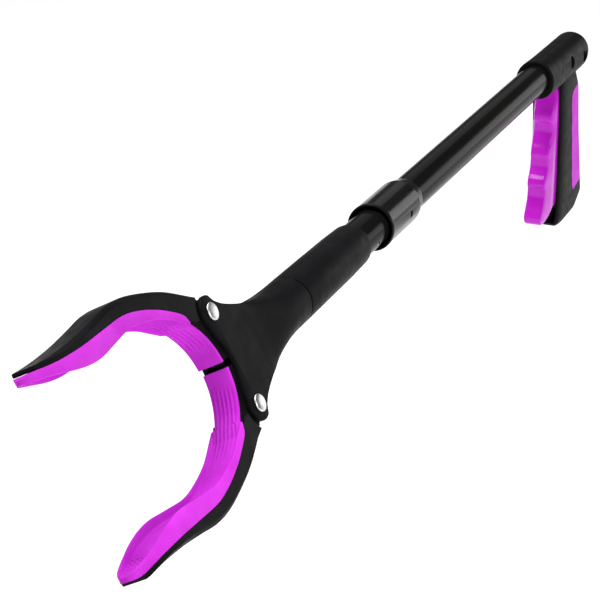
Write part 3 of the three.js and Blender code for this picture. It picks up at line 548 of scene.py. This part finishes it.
def back_hollow():
    """The hollow between the palm pad's bed and the trigger bay."""
    bottom, top = -108, -14
    front = [(x - BAY_WALL, z) for x, z in TRIGGER_BAY[5:9]]
    outline = [(-40, bottom), (front[0][0], bottom), *front, (-40, top)]
    return meet(grip_loft(PAD_SKIN + GRIP_WALL), plate(outline, -20, 20))


def side_panel(side):
    """The shallow flat on each side of the barrel, with eased ends."""
    outline = [(14, 1), (15.4, 2.4), (41.6, 2.4), (43, 1), (43, -7.6), (41.6, -9), (15.4, -9), (14, -7.6)]
    return plate(outline, *sorted((side * PANEL_FLOOR, side * 20)))


def screw_seats():
    """The wells of the screw heads, widening outwards, and the holes for the shanks."""
    side_well = [(8.5, 0), (8.5, 4.6), (13.2, 4.6), (14.4, 5.6), (20, 5.6), (20, 0)]
    heel_well = [(-20, 0), (-20, 4), (-13, 4), (-12, 3.1), (-8.2, 3.1), (-8.2, 0)]
    made = []
    for at in SIDE_SCREWS:
        made += [turned(side_well, 48, along_y(*at)), rod_y(*at, PILOT_R, -9.2, 10, 24)]
    made += [turned(heel_well, 48, along_y(*HEEL_SCREW)), rod_y(*HEEL_SCREW, PILOT_R, -20, 8.4, 24)]
    return made


def pad_region():
    """The palm pad's side outline; its front edge waves a little with the fingers."""
    top_x, top_z, step_x, step_z, wave, period = 40.2, -31, -0.79, -3.07, 0.6, 6.5
    front = [
        (top_x + step_x * k + wave * math.sin(2 * math.pi * k / period), top_z + step_z * k)
        for k in range(25)
    ]
    above = [(-40, -18.5), (12, -18.5), (33, -23.2), (37.6, -25), (39.8, -28)]
    below = [(19.6, -107.6), (17.4, -109.8), (14.4, -110), (-17, -104.5), (-40, -101)]
    return [*above, *front, *below]


def grip_housing():
    body = meet(grip_loft(0), plate(GRIP_OUTLINE, -30, 30))
    pad_space = cut(plate(offset_loop(pad_region(), PAD_GAP), -30, 30), grip_loft(PAD_SKIN + PAD_GAP))
    x, z = SIDE_SCREWS[0]
    bosses = [meet(rod_y(x, z, BOSS_R, low, high), barrel()) for low, high in ((7, 14), (-14, -7))]
    bosses.append(rod_y(x, z, 3, -8, 8))
    bay = cut(plate(TRIGGER_BAY, -BAY_HALF, BAY_HALF), *[copy_of(b) for b in bosses])
    cut(join(body, barrel()), pad_space, rod(22, TUBE_SOCKET_X, BARREL_BORE_R), back_hollow())
    join(body, *bosses)
    tube_socket = rod(TUBE_SOCKET_X, 120, TUBE_SOCKET_R)
    trigger_arm_slot = box(58, 69, -4.5, 4.5, 0, 11.7)
    pivot_hole = rod_y(*PIVOT, PIVOT_HOLE_R, -9.3, 9.3, 24)
    return cut(
        body, bay, tube_socket, trigger_arm_slot, pivot_hole, side_panel(1), side_panel(-1),
        *screw_seats(),
    )


def palm_pad():
    skin = cut(grip_loft(0), grip_loft(PAD_SKIN))
    return meet(skin, plate(pad_region(), -30, 30))


def cross_recess(x, z, y0, y1, reach):
    """The cross-shaped driver recess of a screw whose axis is along Y; w is half an arm's width."""
    w = reach * 0.26
    outline = [(-reach, -w), (-w, -w), (-w, -reach), (w, -reach), (w, -w), (reach, -w),
               (reach, w), (w, w), (w, reach), (-w, reach), (-w, w), (-reach, w)]
    return plate([(x + a, z + b) for a, b in outline], *sorted((y0, y1)))


def screw_y(x, z, side, seat, head_r, head_h, shank_r, tip):
    """A screw along Y with a domed head on that side, which stands a little clear of its seat."""
    clear, recess_depth, recess_share = 0.3, 0.9, 0.52
    seat += clear
    dome = [
        (side * (seat + head_h * (0.55 + 0.45 * math.sin(t))), head_r * (0.35 + 0.65 * math.cos(t)))
        for t in (0, 0.3, 0.6, 0.9, 1.2, 1.5)
    ]
    top = side * (seat + head_h)
    profile = [
        (side * tip, 0), (side * tip, shank_r), (side * seat, shank_r), (side * seat, head_r), *dome,
        (top, 0),
    ]
    recess = cross_recess(x, z, top + side, top - side * recess_depth, head_r * recess_share)
    return cut(turned(profile, 40, along_y(x, z)), recess)


def add_grip():
    left, right = halves(grip_housing())
    piece("grip_shell_left", left, SHAFT, "handle", "black_plastic")
    piece("grip_shell_right", right, SHAFT, "handle", "black_plastic")
    piece("palm_pad", palm_pad(), SHAFT, "handle", "purple_rubber")
    for i, at in enumerate(SIDE_SCREWS, 1):
        made = screw_y(*at, side=1, seat=8.5, head_r=3.1, head_h=2, shank_r=1.3, tip=-8.8)
        piece(f"grip_side_screw_{i}", made, SHAFT, "handle", "steel", DARK_STEEL)
    made = screw_y(*HEEL_SCREW, side=-1, seat=8.2, head_r=2.7, head_h=1.7, shank_r=1.3, tip=-8)
    piece("grip_heel_screw", made, SHAFT, "handle", "steel", DARK_STEEL)


# ---------------------------------------------------------------- trigger
# Front of the trigger from top to bottom, [z, x]: finger hollows between rounded ridges.
FINGER_LINE = [
    (-15, 69.6), (-22, 70.6), (-30, 73.2), (-35.5, 76), (-38.5, 76.2), (-43, 73.6), (-48, 73.1),
    (-56, 75.6), (-62.5, 79.4), (-65.5, 80), (-69, 78.6), (-74, 78.4), (-80, 80.8), (-85, 84.4),
    (-88, 84.8), (-92, 82.9), (-97, 82.7), (-104, 85), (-110, 88.6), (-113.5, 89.6), (-116.5, 88.8),
    (-119, 86.2), (-120.4, 82),
]
# From top to bottom, [z, where the chamfer meets the flank, back of the flank].
TRIGGER_FLANK = [
    (-15, 66.4, 50), (-30, 69.6, 51), (-48, 69.2, 52.2), (-66, 71.2, 53.5), (-110, 70.4, 56.5),
    (-120.4, 73, 57.2),
]
# How the trigger narrows over its rounded lower end, [z, share of its width].
TRIGGER_LOBE = [
    (-15, 1), (-113, 1), (-115.5, 0.985), (-117.5, 0.94), (-119, 0.87), (-120, 0.78), (-120.4, 0.68),
]
TRIGGER_HALF = 9
TRIGGER_FACE_HALF = 6.8
TRIGGER_WALL = 2.2


def trigger_ring(z, front, inset, reach_back):
    """A section from the back of one flank round a chamfer and the nose to the back of the other."""
    narrowed = between(TRIGGER_LOBE, z)[0]
    half = (TRIGGER_HALF - inset) * narrowed
    face = (TRIGGER_FACE_HALF - inset * 0.6) * narrowed
    nose = front - inset * 1.1
    edge, back = eased(TRIGGER_FLANK, z)
    flank, rear = edge - inset, back - reach_back
    lean = (nose - flank) / (half - face)
    side = [
        (rear, half), (flank - 1.2, half), (flank - 0.4, half - 0.04), (flank + 0.4 * lean, half - 0.45),
        (nose - 0.9 * lean, face + 0.9), (nose - 0.35 * lean, face + 0.42), (nose - 0.3, face - 0.2),
        (nose - 0.06, face - 0.8), (nose, face - 1.6),
    ]
    return [(x, -y, z) for x, y in side] + [(x, y, z) for x, y in reversed(side)]


def trigger_loft(inset, reach_back):
    stations = [-120.4, -120.25, -120, -119.6, -119] + [-118.4 + 103.4 * i / 150 for i in range(151)]
    return loft([trigger_ring(z, *eased(FINGER_LINE, z), inset, reach_back) for z in stations])


def trigger():
    """A hollow shell with an arm up to its pivot, a rib along its middle and a web over its lower end."""
    hollow = meet(trigger_loft(TRIGGER_WALL, 10), box(0, 120, -20, 20, -119, -19.5))
    heel = plate([(40, -140), (40, -109), (66, -110.5), (84, -121), (90, -140)], -20, 20)
    arm_end = arc(*PIVOT, 3.2, 190, -10, 24)
    arm = plate([(57, -17), (58.4, -4), *arm_end, (69.4, -4), (70, -17)], -4.2, 4.2)
    web = plate([(66, -113), (66, -107.5), (86, -117.6), (86, -119.6)], -8, 8)
    rib = meet(box(54, 76, -1, 1, -112, -18), trigger_loft(1, 0))
    body = cut(trigger_loft(0, 0), hollow)
    join(body, arm, rib, meet(web, trigger_loft(0.5, 0)))
    pivot_hole = rod_y(*PIVOT, PIVOT_HOLE_R, -10, 10, 32)
    anchor_hole = rod_y(64, -9, 2.3, -10, 10, 32)
    cable_slot = box(64, 90, -1.25, 1.25, -11.2, -5)
    return cut(body, heel, pivot_hole, anchor_hole, cable_slot)


def add_trigger():
    piece("trigger", trigger(), SHAFT, "trigger", "purple_gloss")


# ---------------------------------------------------------------- tubes, sleeve and neck
TUBE_R = 11.1
TUBE_BORE_R = 9.9
PIN_HOLE_R = 1.5
NECK_SCREW_X = 505


def tube(x0, x1, *holes):
    """A tube with its outer corners eased and its bore chamfered."""
    eased_by, chamfer = 0.2, 0.25
    profile = [
        (x0, TUBE_BORE_R + chamfer), (x0 + chamfer, TUBE_BORE_R),
        (x1 - chamfer, TUBE_BORE_R), (x1, TUBE_BORE_R + chamfer),
        (x1, TUBE_R - eased_by), (x1 - eased_by, TUBE_R), (x0 + eased_by, TUBE_R), (x0, TUBE_R - eased_by),
    ]
    return cut(turned(profile, 128), *holes)


def plug_pin_hole(x):
    return rod_y(x, -3, PIN_HOLE_R, -20, 20, 32)


def neck_screw_hole():
    return rod_z(NECK_SCREW_X, PIN_HOLE_R, -20, -8)


def lock_sleeve():
    """A cone, a long straight stretch and a low lip, with a small window in its +Y side."""
    outer = [
        (402.5, 0), (402.5, 11.7), (402.65, 11.95), (403.1, 12.1), (405.4, 12.51), (407.6, 12.91),
        (409.8, 13.3), (412, 13.68), (412.7, 13.86), (413.7, 14), (458.4, 14), (458.9, 14.08),
        (459.5, 14.2), (461.7, 14.2), (462.2, 14.05), (462.5, 13.7), (462.5, 0),
    ]
    inner = [
        (401.5, 0), (401.5, 11.6), (402.5, 11.6), (402.9, 11.4), (415.5, 11.4), (417.5, 13.05),
        (462, 13.05), (462.5, 13.4), (463.5, 13.4), (463.5, 0),
    ]
    window = [
        (427.3, -1.2), (427.7, -1.6), (430.3, -1.6), (430.7, -1.2), (430.7, 1.8), (430.3, 2.2),
        (427.7, 2.2), (427.3, 1.8),
    ]
    made = cut(turned(outer, 128), turned(inner, 128))
    return cut(made, plate(window, 10, 20))


def neck_collar():
    """The long socket: it holds the front tube at its rear, and the head's spigot turns in its front."""
    outer = [
        (494, 0), (494, 11.6), (494.15, 11.95), (494.6, 12.3), (495.4, 12.55), (496.4, 12.7), (518, 13.3),
        (550, 13.6), (587, 13.9), (587.5, 13.8), (587.7, 13.6), (587.7, 0),
    ]
    inner = [
        (493, 0), (493, 11.4), (516.5, 11.4), (516.5, 9), (561, 9), (561, 10.9), (574, 10.9), (574, 9.4),
        (577, 9.4), (577, 10.9), (589, 10.9), (589, 0),
    ]
    return cut(turned(outer, 128), turned(inner, 96), neck_screw_hole())


def neck_screw():
    """A headless screw from below, with a dimpled end."""
    place = Matrix.Translation((NECK_SCREW_X, 0, 0)) @ Matrix.Rotation(math.pi / 2, 4, "Y")
    profile = [(8.6, 0), (8.6, 1.2), (12.4, 1.2), (12.7, 0.9), (12.7, 0.5), (12.2, 0.4), (12.2, 0)]
    return turned(profile, 32, place)


def add_shaft():
    piece("rear_tube", tube(80, 434, plug_pin_hole(421)), SHAFT, "handle", "gloss_black")
    front = tube(464, 516.2, plug_pin_hole(477), neck_screw_hole())
    piece("front_tube", front, SHAFT, "front", "gloss_black")
    piece("lock_sleeve", lock_sleeve(), SHAFT, "lock_sleeve", "sleeve_black")
    piece("neck_collar", neck_collar(), SHAFT, "front", "black_plastic")
    piece("neck_screw", neck_screw(), SHAFT, "front", "steel", DARK_STEEL)


# ---------------------------------------------------------------- head
# In the head's own frame x is measured from the rivet line, y is the plate normal and z runs across
# the jaws. Yoke body sections behind the plates: [x, half height, half thickness, fullness].
YOKE = [
    (-88, 13.9, 13.9, 2), (-76, 14, 13.8, 2), (-64, 14.3, 13.1, 2.3), (-52, 15.4, 12, 3), (-42, 17, 11, 4),
    (-32, 20, 10.2, 6), (-22, 26, 9.8, 12), (12, 42, 9.8, 40),
]
YOKE_TOP = [
    (-88, 13.9), (-72, 14), (-58, 14.4), (-44, 16), (-30, 18.6), (-20, 21.9), (-12, 25.4), (-6.2, 29.2),
]
YOKE_MOUTH = [(6.4, 15.4), (4.2, 9.6), (2.4, 4.4), (1.7, 0)]
# How the plates' edges are rounded: [inset, half thickness].
YOKE_EDGE = [(0.9, 14.6), (0.9, 9.86), (0.5, 9.72), (0.2, 9.45), (0, 9.0)]
YOKE_WALL = 2.4
SHELL_SCREWS = [(-32, 11.6), (-32, -11.6)]


def yoke_ring(row, count=96):
    x, high, thick, fullness = row
    ring = []
    for i in range(count):
        turn = 2 * math.pi * (i + 0.5) / count
        y = thick * signed_power(math.cos(turn), 2 / fullness)
        z = high * signed_power(math.sin(turn), 2 / fullness)
        ring.append((x, y, z))
    return ring


def yoke_body():
    """The yoke's round neck as it widens into two flat plates; its rear edge is rounded."""
    stations = [-88, -87.8, -87.4] + [-86 + 2 * i for i in range(33)] + [-14, 0, 12]
    rings = []
    for x in stations:
        high, thick, fullness = eased(YOKE, x)
        rounding = 0.3 if x == -88 else 0.1 if x == -87.8 else 0
        rings.append(yoke_ring((x, high - rounding, thick - rounding, fullness)))
    return loft(rings)


def yoke_outline():
    """The side outline of both ears, the mouth between them and the neck behind."""
    ear = arc(0, RIVET_Z, 8.7, 118, -24, 40)
    mouth = spline([ear[-1], *YOKE_MOUTH], 26)
    upper = [*spline(YOKE_TOP, 42)[:-1], *ear, *mouth[1:-1]]
    return list(reversed([*upper, YOKE_MOUTH[3], *mirrored(upper)]))


def yoke_plates():
    """The side outline, its edges rounded where the plates end."""
    outline = yoke_outline()
    layers = both_sides(YOKE_EDGE)
    return stacked([(offset_loop(outline, inset), y) for inset, y in layers])


def yoke_hollows():
    """The slot of the jaws, the room of the crosshead and its spring, and the bores behind it."""
    side = [(x, z) for x, z in offset(spline(YOKE_TOP, 42), -YOKE_WALL) if -24 < x < -9]
    slot = [(-24, 8), *side, (-9, 60), (30, 60)]
    jaw_slot = plate([*slot, *mirrored(slot)], -7.6, 7.6)
    crosshead_room = box(-37, -20, -5.6, 5.6, -7.6, 7.6)
    spring_bore = rod(-62, -20, 6.8, 48)
    cable_bore = rod(-120, -60, 3, 32)
    spigot_bore = rod(-120, -66, 6.4, 48)
    return [jaw_slot, crosshead_room, spring_bore, cable_bore, spigot_bore]


def spigot():
    """The round tail that turns in the neck, with two grooves."""
    return turned([
        (-114.4, 0), (-114.4, 10.2), (-114.1, 10.5), (-110.4, 10.5), (-110.4, 9), (-107.4, 9),
        (-107.4, 10.5), (-102.7, 10.5), (-102.7, 9.1), (-99.1, 9.1), (-99.1, 10.5), (-80, 10.5),
        (-80, 0),
    ])


def yoke_shells():
    rivet_hole_r, head_seat_r, pilot_r = 2.5, 2.7, 1.35
    rivet_holes = [rod_y(0, z, rivet_hole_r, -20, 20) for z in (RIVET_Z, -RIVET_Z)]
    seats = []
    for at in SHELL_SCREWS:
        seats += [rod_y(*at, head_seat_r, -20, -7.4), rod_y(*at, pilot_r, -20, 8.2, 24)]
    body = meet(yoke_body(), yoke_plates())
    join(body, spigot())
    return halves(cut(body, *yoke_hollows(), *rivet_holes, *seats))


def rivet(z):
    """A domed head on +Y and a flatter closed end on -Y."""
    seat, shank_r, head_r, end_r = 10.1, 2.2, 4.6, 3.6
    dome = [
        (seat + 0.4 + 1.0 * math.sin(t), head_r * math.cos(t) ** 0.8)
        for t in (0, 0.2, 0.4, 0.6, 0.8, 1.0, 1.2, 1.38, 1.48)
    ]
    back = [
        (-seat - 0.5 - 0.6 * math.sin(t), end_r * math.cos(t) ** 0.7)
        for t in (1.45, 1.2, 0.9, 0.6, 0.3, 0)
    ]
    profile = [
        (-seat - 1.1, 0), *back, (-seat, end_r), (-seat, shank_r), (seat, shank_r), (seat, head_r - 0.1),
        (seat + 0.1, head_r), *dome, (seat + 1.4, 0),
    ]
    return turned(profile, 64, along_y(0, z))


def swivel_ring():
    middle_x, middle_r, thick_r, count = -108.9, 10.05, 0.7, 14
    turns = [2 * math.pi * i / count for i in range(count)]
    return turned([(middle_x + thick_r * math.cos(t), middle_r + thick_r * math.sin(t)) for t in turns], 72)


def wire(points, radius, sides=12):
    """A round wire along the points."""
    points = [Vector(p) for p in points]
    up, rings = Vector((0, 0, 1)), []
    for i, p in enumerate(points):
        run = (points[min(i + 1, len(points) - 1)] - points[max(i - 1, 0)]).normalized()
        up = (up - run * up.dot(run)).normalized()
        side = run.cross(up)
        rings.append([
            p + radius * (math.cos(t) * up + math.sin(t) * side)
            for t in (2 * math.pi * k / sides for k in range(sides))
        ])
    return loft(rings)


def add_spring():
    """A spring whose coils lie closer at its ends."""
    start, end, radius, thick, turns, steps = -61.4, -24.6, 4.9, 0.6, 7, 28
    points = []
    for i in range(turns * steps + 1):
        share = i / (turns * steps)
        pitch = min(max((share - 0.1) / 0.8, 0), 1) * 0.94 + 0.03 * share * 2
        turn = 2 * math.pi * turns * share
        along = start + thick + (end - start - 2 * thick) * pitch
        points.append((along, radius * math.cos(turn), radius * math.sin(turn)))
    made = piece("return_spring", wire(points, thick), HEAD, "head", "steel")
    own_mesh(made)


def past(end, inner):
    """The point as far past the line's end as the one inside it is before it."""
    return tuple(2 * a - b for a, b in zip(end, inner))


def add_cable_bend():
    """The flexing stretch of cable over the fold: a hollow liner that the front cable slides into."""
    anchor_x, anchor_z, fold_x, fold_z, end_x = 64, -9, 449, 5.8, HEAD_X - 16.6
    outer_r, bore_r, sides, blend_from, blend_to = 1.25, 0.95, 20, 445, 451
    rear = [
        (x, 0, anchor_z + (fold_z - anchor_z) * (x - anchor_x) / (fold_x - anchor_x))
        for x in (441.3, 443, 446.5)
    ]
    front = [(x, 0, fold_z * (end_x - x) / (end_x - fold_x)) for x in (451.5, 455, 456.7)]
    line = spline([*rear, *front], 28)
    longer = [past(line[0], line[1]), *line, past(line[-1], line[-2])]
    made = cut(wire(line, outer_r, sides), wire(longer, bore_r, sides))
    made.data.transform(SHAFT)
    made.name = made.data.name = "pull_cable_bend_fine"
    made.data.shade_smooth()
    made.data.materials.append(STEEL)
    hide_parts("pull_cable_bend")
    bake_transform(made)


def add_head():
    left, right = yoke_shells()
    piece("yoke_shell_left", left, HEAD, "head", "black_plastic")
    piece("yoke_shell_right", right, HEAD, "head", "black_plastic")
    for i, at in enumerate(SHELL_SCREWS, 1):
        made = screw_y(*at, side=-1, seat=7.4, head_r=2.3, head_h=1.4, shank_r=1.05, tip=-7.8)
        piece(f"yoke_screw_{i}", made, HEAD, "head", "steel", DARK_STEEL)
    for name, z in (("upper", RIVET_Z), ("lower", -RIVET_Z)):
        piece(f"jaw_rivet_{name}", rivet(z), HEAD, "head", "steel")
    piece("swivel_ring", swivel_ring(), HEAD, "head", "seal_rubber")


# ---------------------------------------------------------------- jaws
# The upper jaw with both jaws level, in the head's frame: [x, z] lines.
JAW_BACK = [
    (3.4, 34.2), (12, 38.8), (27, 45.8), (42, 50.6), (60, 54.7), (75, 55.5), (90, 53.7), (105, 52),
    (120, 51.1), (132, 51), (140.4, 51.3),
]
JAW_LEDGE = [
    (22.6, 31), (27, 34.2), (40, 40.5), (55, 45.5), (70, 48.1), (90, 47.8), (108, 47.3), (124, 47.6),
    (134, 48.4), (140.4, 49.3),
]
JAW_FACE = [
    (8, 1.6), (9.6, 9.7), (13.6, 17.8), (20, 25.3), (27, 29.4), (39, 35.3), (53, 39.2), (67, 41),
    (84, 39.3), (98, 37.7), (109, 38.1), (119, 39.8), (128, 42), (136, 43.8), (143.5, 45.2),
]
# Half the jaw's width along it: the tip is rounded off like a spoon.
JAW_PLAN = [
    (-5, 9.5), (35, 9.5), (70, 9.5), (92, 9.9), (108, 10.2), (118, 10), (126, 9.4), (133, 8.5), (139, 7),
    (143, 5), (145.6, 2.8), (146.8, 0),
]
# How far the long bevels of the jaw's back reach down at its sides, [x, depth], and how that depth
# is shared across the thickness: [share, half thickness].
BEVEL_DEPTH = [(3.4, 0.3), (14, 2.6), (90, 2.6), (141, 0.8)]
BEVEL_EDGE = [(1, 11), (1, 9.5), (0.86, 9.42), (0.1, 7.6), (0.02, 7.35), (0, 6.9)]
# Rings sunk round the rivet in both sides of the jaw, as [y, radius].
RIVET_GROOVE = [(6.9, 8.9), (6.9, 12.2), (7.3, 12.6), (10.6, 12.8), (10.6, 8.9)]
TAIL_HALF = 7.3
TIP_X = 146.8
# The pad's face: how deep its channel is, [x, depth], and how far apart its ridges and teeth are.
CHANNEL_DEPTH = [(22, 0), (27, 2.08), (60, 2.86), (96, 4.42), (126, 3.64), (138, 2.34), (144, 0.78)]
RIDGE_PITCH = 2.3
TOOTH_PITCH = 2.3

BACK_LINE = spline(JAW_BACK, 90)
LEDGE_LINE = spline(JAW_LEDGE, 90)
FACE_LINE = spline(JAW_FACE, 236)


def jaw_plan():
    """The jaw seen from above, as tall as the jaw and more."""
    edge = [(x, max(half, 0)) for x, half in spline(JAW_PLAN, 60)]
    return prism([*edge, *[(x, -y) for x, y in reversed(edge[:-1])]], 0, 80)


def jaw_frame():
    """The stiff upper jaw: a bevelled arm, and a narrower tail behind the throat."""
    ear = arc(0, RIVET_Z, 9.2, 2, 68, 28)
    inside = [(141.2, 50), *reversed(LEDGE_LINE), (20.9, 27.9), (18.5, 26.7), (16.9, 25.3), *ear]

    def outline(share):
        return [(x, z - share * between(BEVEL_DEPTH, x)[0]) for x, z in BACK_LINE] + inside

    layers = both_sides(BEVEL_EDGE)
    arm = meet(stacked([(outline(share), y) for share, y in layers]), jaw_plan())
    bed = offset([p for p in FACE_LINE if p[0] < 20.5], 1.9)
    tail = plate([
        *reversed(bed), (-2.6, 1.7), (-6, 9), (-7.4, 18), (-7, 28), (2, 33), (14, 36), (22.3, 38),
        (22.3, 31), (20.9, 27.9),
    ], -TAIL_HALF, TAIL_HALF)
    pivot = along_y(0, RIVET_Z)
    cut(arm, *[turned([(side * y, r) for y, r in RIVET_GROOVE], 96, pivot) for side in (1, -1)])
    join(arm, tail, rod_y(0, RIVET_Z, 7.6, -TAIL_HALF, TAIL_HALF, 64))
    rivet_hole = rod_y(0, RIVET_Z, 2.6, -20, 20)
    crosshead_slot = plate([(-20, -2), (4.3, -2), (4.3, 12.6), (-20, 15)], -2.6, 2.6)
    return cut(arm, rivet_hole, crosshead_slot)


def pin_slot(side):
    """The slanted slot that the crosshead's pin runs in, about the jaw's pivot."""
    pin_below, rest_x, pulled_x, play, radius = 17.5, -1.5, -7.3, 0.4, 2.65
    near, far = math.hypot(rest_x, pin_below), math.hypot(pulled_x, pin_below)
    turn = math.atan2(-pin_below, rest_x) + side * math.radians(1)
    ends = [(d * math.cos(turn), RIVET_Z + d * math.sin(turn)) for d in (near - play, far + play)]
    (ax, az), (bx, bz) = ends
    u, w = radius * math.sin(turn), -radius * math.cos(turn)
    bar = plate([(ax + u, az + w), (bx + u, bz + w), (bx - u, bz - w), (ax - u, az - w)], -20, 20)
    return join(bar, *[rod_y(*end, radius, -20, 20) for end in ends])


def to_pivot(made, side):
    """Mirrors the upper jaw's solid for the lower jaw, and moves its pivot to the origin."""
    if side < 0:
        made.data.transform(Matrix.Scale(-1, 4, (0, 0, 1)))
        made.data.flip_normals()
    made.data.transform(Matrix.Translation((0, 0, -side * RIVET_Z)))
    return made


def smoothstep(value, low, high):
    t = min(max((value - low) / (high - low), 0), 1)
    return t * t * (3 - 2 * t)


def pad_depth(x, y, half):
    """How far the pad's face is sunk at (x, y): lips round a channel, throat ridges and tip teeth."""
    inside = half - abs(y)
    edge = min(inside, (TIP_X - x) * 0.8)
    sunk = between(CHANNEL_DEPTH, x)[0] * smoothstep(edge, 1.1, 2.4)
    sunk += 0.45 * (1 - min(inside / 0.7, 1)) ** 2
    ridge = 0.5 + 0.5 * math.cos(2 * math.pi * (y + 0.35 * math.sin(x / 19)) / RIDGE_PITCH)
    ridge_height = 0.6 + 0.2 * math.sin(2.7 * y + x / 23)
    throat = smoothstep(edge, 1.6, 2.8) * (1 - smoothstep(x, 62, 88)) * smoothstep(x, 9, 12)
    sunk -= ridge_height * ridge**1.5 * throat
    tooth = abs((x / TOOTH_PITCH) % 1 - 0.5) * 2
    tooth_height = 1.2 * (0.7 + 0.3 * math.sin(2.4 * y))
    tip = smoothstep(edge, 2.2, 3.0) * smoothstep(x, 122, 126) * (1 - smoothstep(x, 139, 142))
    return sunk - tooth_height * tooth**1.5 * tip


def pad_stations():
    """(front point, back point, half width) from the throat to the tip."""
    tail = [p for p in FACE_LINE if p[0] < 20.5]
    stations = [(p, q, TAIL_HALF) for p, q in zip(tail, offset(tail, PAD_SKIN))]
    ledge = [(21.3, 27.6), *offset(LEDGE_LINE, -PAD_GAP), (141.5, 49.1), (144, 49), (146, 48.4)]
    rounded_tip = [(144.4, 45.5), (145.2, 45.8), (145.9, 46.15), (146.3, 46.5)]
    for x, z in [p for p in FACE_LINE if p[0] > 21.2] + rounded_tip:
        stations.append(((x, z), (x, between(ledge, x)[0]), max(eased(JAW_PLAN, x)[0], 0.6)))
    return stations


def jaw_pad():
    """The rubber lining, its points closer together near the edges of its face."""
    count, crowding, deepest_share = 88, 0.35, 0.8
    stations = pad_stations()
    front = [p for p, _, _ in stations]
    inward = [(q[0] - p[0], q[1] - p[1]) for p, q in zip(front, offset(front, 1))]
    rings = []
    for (face, back, half), (nx, nz) in zip(stations, inward):
        ring = []
        for k in range(count + 1):
            across = 2 * k / count - 1
            y = half * (math.sin(math.pi / 2 * across) * crowding + across * (1 - crowding))
            sunk = min(pad_depth(face[0], y, half), deepest_share * math.dist(face, back))
            ring.append((face[0] + nx * sunk, y, face[1] + nz * sunk))
        ring += [(back[0], half, back[1]), (back[0], -half, back[1])]
        rings.append(ring)
    return loft(rings)


def add_jaws():
    for side, name in ((1, "upper"), (-1, "lower")):
        slot = pin_slot(side)
        body = to_pivot(jaw_frame(), side)
        to_pivot(slot, side).data.transform(Matrix.Rotation(math.radians(JAW_RISE), 4, "Y"))
        cut(body, slot)
        piece(f"jaw_frame_{name}", body, jaw_place(side), f"jaw_{name}", "black_plastic")
        pad = to_pivot(jaw_pad(), side)
        piece(f"jaw_pad_{name}", pad, jaw_place(side), f"jaw_{name}", "purple_rubber", sharp=50)


# ---------------------------------------------------------------- stage
CAMERA_PLACE = (1.43743, 0.35284, 0.50809)
CAMERA_TURNS = (68.3177, -0.9631, 111.7447)
CAMERA_LENS = 118.2
FLOOR_HALF = 8
FLOOR_Z = -0.32
FLOOR_TONE = 0.5
FLOOR_GLOW = 0.72
WORLD_STRENGTH = 0.07
# Each light's place, the point it shines at, its size and its watts.
LIGHTS = {
    "top": ((0.5, -0.5, 2.3), (0.35, 0, 0), (2.0, 1.4), 70),
    "key": ((1.5, 2.3, 1.3), (0.4, 0, 0.05), (1.0, 1.0), 38),
    "rim": ((-2.6, 1.5, 0.35), (0.4, 0, 0.05), (2.2, 0.9), 14),
    "back": ((-1.9, -1.3, 1.6), (0.4, 0, 0.05), (2.8, 2.0), 6),
}


def add_camera():
    data = bpy.data.cameras.new("camera")
    data.lens, data.sensor_width = CAMERA_LENS, 36
    data.clip_start, data.clip_end = 0.01, 100
    made = bpy.data.objects.new("camera", data)
    made.location = CAMERA_PLACE
    made.rotation_euler = tuple(math.radians(a) for a in CAMERA_TURNS)
    bpy.context.scene.collection.objects.link(made)
    bpy.context.scene.camera = made


def add_floor():
    mesh = bpy.data.meshes.new("floor")
    corners = [(-1, -1), (1, -1), (1, 1), (-1, 1)]
    mesh.from_pydata([(x * FLOOR_HALF, y * FLOOR_HALF, FLOOR_Z) for x, y in corners], [], [(0, 1, 2, 3)])
    floor = bpy.data.objects.new("floor", mesh)
    bpy.context.scene.collection.objects.link(floor)
    paint = bpy.data.materials.new("floor_paint")
    paint.use_nodes = True
    shader = paint.node_tree.nodes["Principled BSDF"]
    shader.inputs["Base Color"].default_value = (FLOOR_TONE, FLOOR_TONE, FLOOR_TONE, 1)
    shader.inputs["Roughness"].default_value = 0.9
    shader.inputs["Emission Color"].default_value = (1, 1, 1, 1)
    shader.inputs["Emission Strength"].default_value = FLOOR_GLOW
    mesh.materials.append(paint)


def add_light(name, place, target, size, watts):
    data = bpy.data.lights.new(name, "AREA")
    data.shape, data.size, data.size_y, data.energy = "RECTANGLE", size[0], size[1], watts
    made = bpy.data.objects.new(name, data)
    made.location = place
    made.rotation_euler = (Vector(target) - Vector(place)).to_track_quat("-Z", "Y").to_euler()
    bpy.context.scene.collection.objects.link(made)


def add_world():
    world = bpy.data.worlds.new("studio")
    world.use_nodes = True
    background = world.node_tree.nodes["Background"]
    background.inputs["Color"].default_value = (1, 1, 1, 1)
    background.inputs["Strength"].default_value = WORLD_STRENGTH
    bpy.context.scene.world = world


def add_stage():
    add_camera()
    add_floor()
    add_world()
    for name, light in LIGHTS.items():
        add_light(name, *light)
    bpy.context.scene.view_settings.view_transform = "Standard"


dress_cad_nodes()
add_grip()
add_trigger()
add_shaft()
add_head()
add_spring()
add_cable_bend()
add_jaws()
add_stage()
